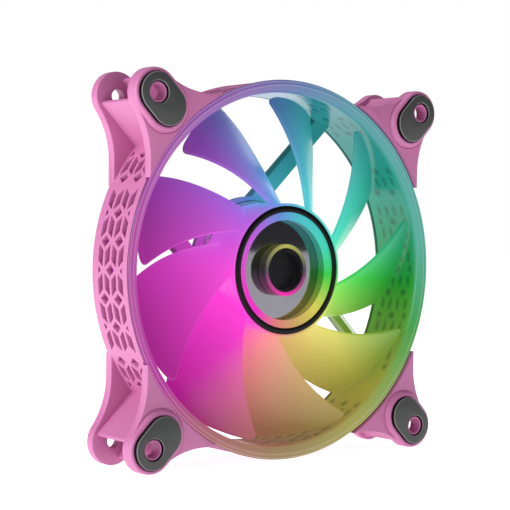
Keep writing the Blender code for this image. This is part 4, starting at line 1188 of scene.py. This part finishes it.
hub_piece("cup", "centre_cup", [(0, -5.1 * MM)] + rounded([
    (6.0 * MM, -5.1 * MM), (6.0 * MM, -8.25 * MM), (7.0 * MM, -8.25 * MM), (7.0 * MM, -4.6 * MM)],
    [0.3 * MM, 0.2 * MM, 0.15 * MM, 0.1 * MM]) + [(0, -4.6 * MM)], CUP, 96)
print("mirror pieces: 6")

# %% [markdown]
# ## Motor, board and rear label
# What sits inside the hub is hidden once the fan is together, and its solids already have the right
# shape, so these keep the engineering model's meshes and only get real finishes: plated steel, turned
# brass, lacquered board, enamelled copper. The label and the grommet show from behind, so they are made
# anew.

# %% Inner finishes
STEEL = finish("plated_steel", (0.55, 0.55, 0.56, 1), 0.3, 1.0, 0.0006, 0.000003)
LAMINATION = finish("lamination_steel", (0.33, 0.33, 0.35, 1), 0.45, 1.0, 0.0005, 0.000006)
FERRITE = finish("ferrite", (0.035, 0.035, 0.04, 1), 0.6, 0.0, 0.0003, 0.00001, 0.15)
BRASS = finish("turned_brass", (0.68, 0.47, 0.20, 1), 0.28, 1.0, 0.0005, 0.000003)
BRONZE = finish("sintered_bronze", (0.45, 0.26, 0.12, 1), 0.55, 1.0, 0.0002, 0.00001, 0.2)
NYLON = finish("nylon", (0.72, 0.71, 0.64, 1), 0.45, 0.0, 0.0005, 0.000004)
COPPER = finish("enamelled_copper", (0.55, 0.20, 0.07, 1), 0.3, 1.0, 0.0003, 0.00001, 0.15)
LACQUER = finish("board_lacquer", (0.75, 0.74, 0.76, 1), 0.3, 0.0, 0.0008, 0.000004, 0.12)
PACKAGE = finish("led_package", (0.85, 0.85, 0.80, 1), 0.35, 0.0, 0.0004, 0.000002)
EPOXY = finish("chip_epoxy", (0.018, 0.018, 0.02, 1), 0.5, 0.0, 0.0002, 0.000006)
STICKER = finish("blank_sticker", (0.55, 0.55, 0.57, 1), 0.38, 0.0, 0.0007, 0.000003, 0.05)

INNER = {
    "bearing_housing": BRASS, "sleeve_bearing": BRONZE, "oil_seal": RUBBER, "thrust_pad": NYLON,
    "stator_core": LAMINATION, "stator_insulator_front": NYLON, "stator_insulator_rear": NYLON,
    "driver_board": LACQUER, "hall_sensor": EPOXY, "driver_chip": EPOXY, "filter_capacitor": EPOXY,
    "rotor_yoke": STEEL, "ring_magnet": FERRITE, "shaft": STEEL, "shaft_insert": BRASS,
    "retaining_clip": NYLON}
INNER.update({f"stator_coil_{k + 1}": COPPER for k in range(4)})
INNER.update({f"hub_led_{k + 1}": PACKAGE for k in range(8)})
for name, material in INNER.items():
    mesh = NODES[name].data
    mesh.materials.clear()
    mesh.materials.append(material)
print("inner nodes dressed:", len(INNER))

# %% Label and grommet
label = turned("blank_label", [(0, 12.15 * MM)] + rounded([
    (LABEL_RADIUS, 12.15 * MM), (LABEL_RADIUS, 12.4 * MM)], 0) + [(0, 12.4 * MM)], STICKER, steps=144)
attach(label, "housing")
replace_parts(label, "rear_label")

grommet = outlet_box("outlet_grommet", (2.0 * MM, 1.8 * MM, 4.8 * MM), OUTLET_RADIUS + 0.4 * MM,
                     TRAY_FRONT + 1.2 * MM, RUBBER)
bore = turned("bore", [(0, -4 * MM), (0.6 * MM, -4 * MM), (0.6 * MM, 4 * MM), (0, 4 * MM)], steps=32)
across_tray = Matrix((around, outlet, Vector((0, 1, 0)))).transposed().to_4x4()
bore.data.transform(Matrix.Translation(
    outlet * OUTLET_RADIUS + Vector((0, TRAY_FRONT + 1.2 * MM, 0))) @ across_tray)
combine(grommet, "DIFFERENCE", [bore])
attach(grommet, "housing")
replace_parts(grommet, "cable_grommet")
print("label and grommet made")
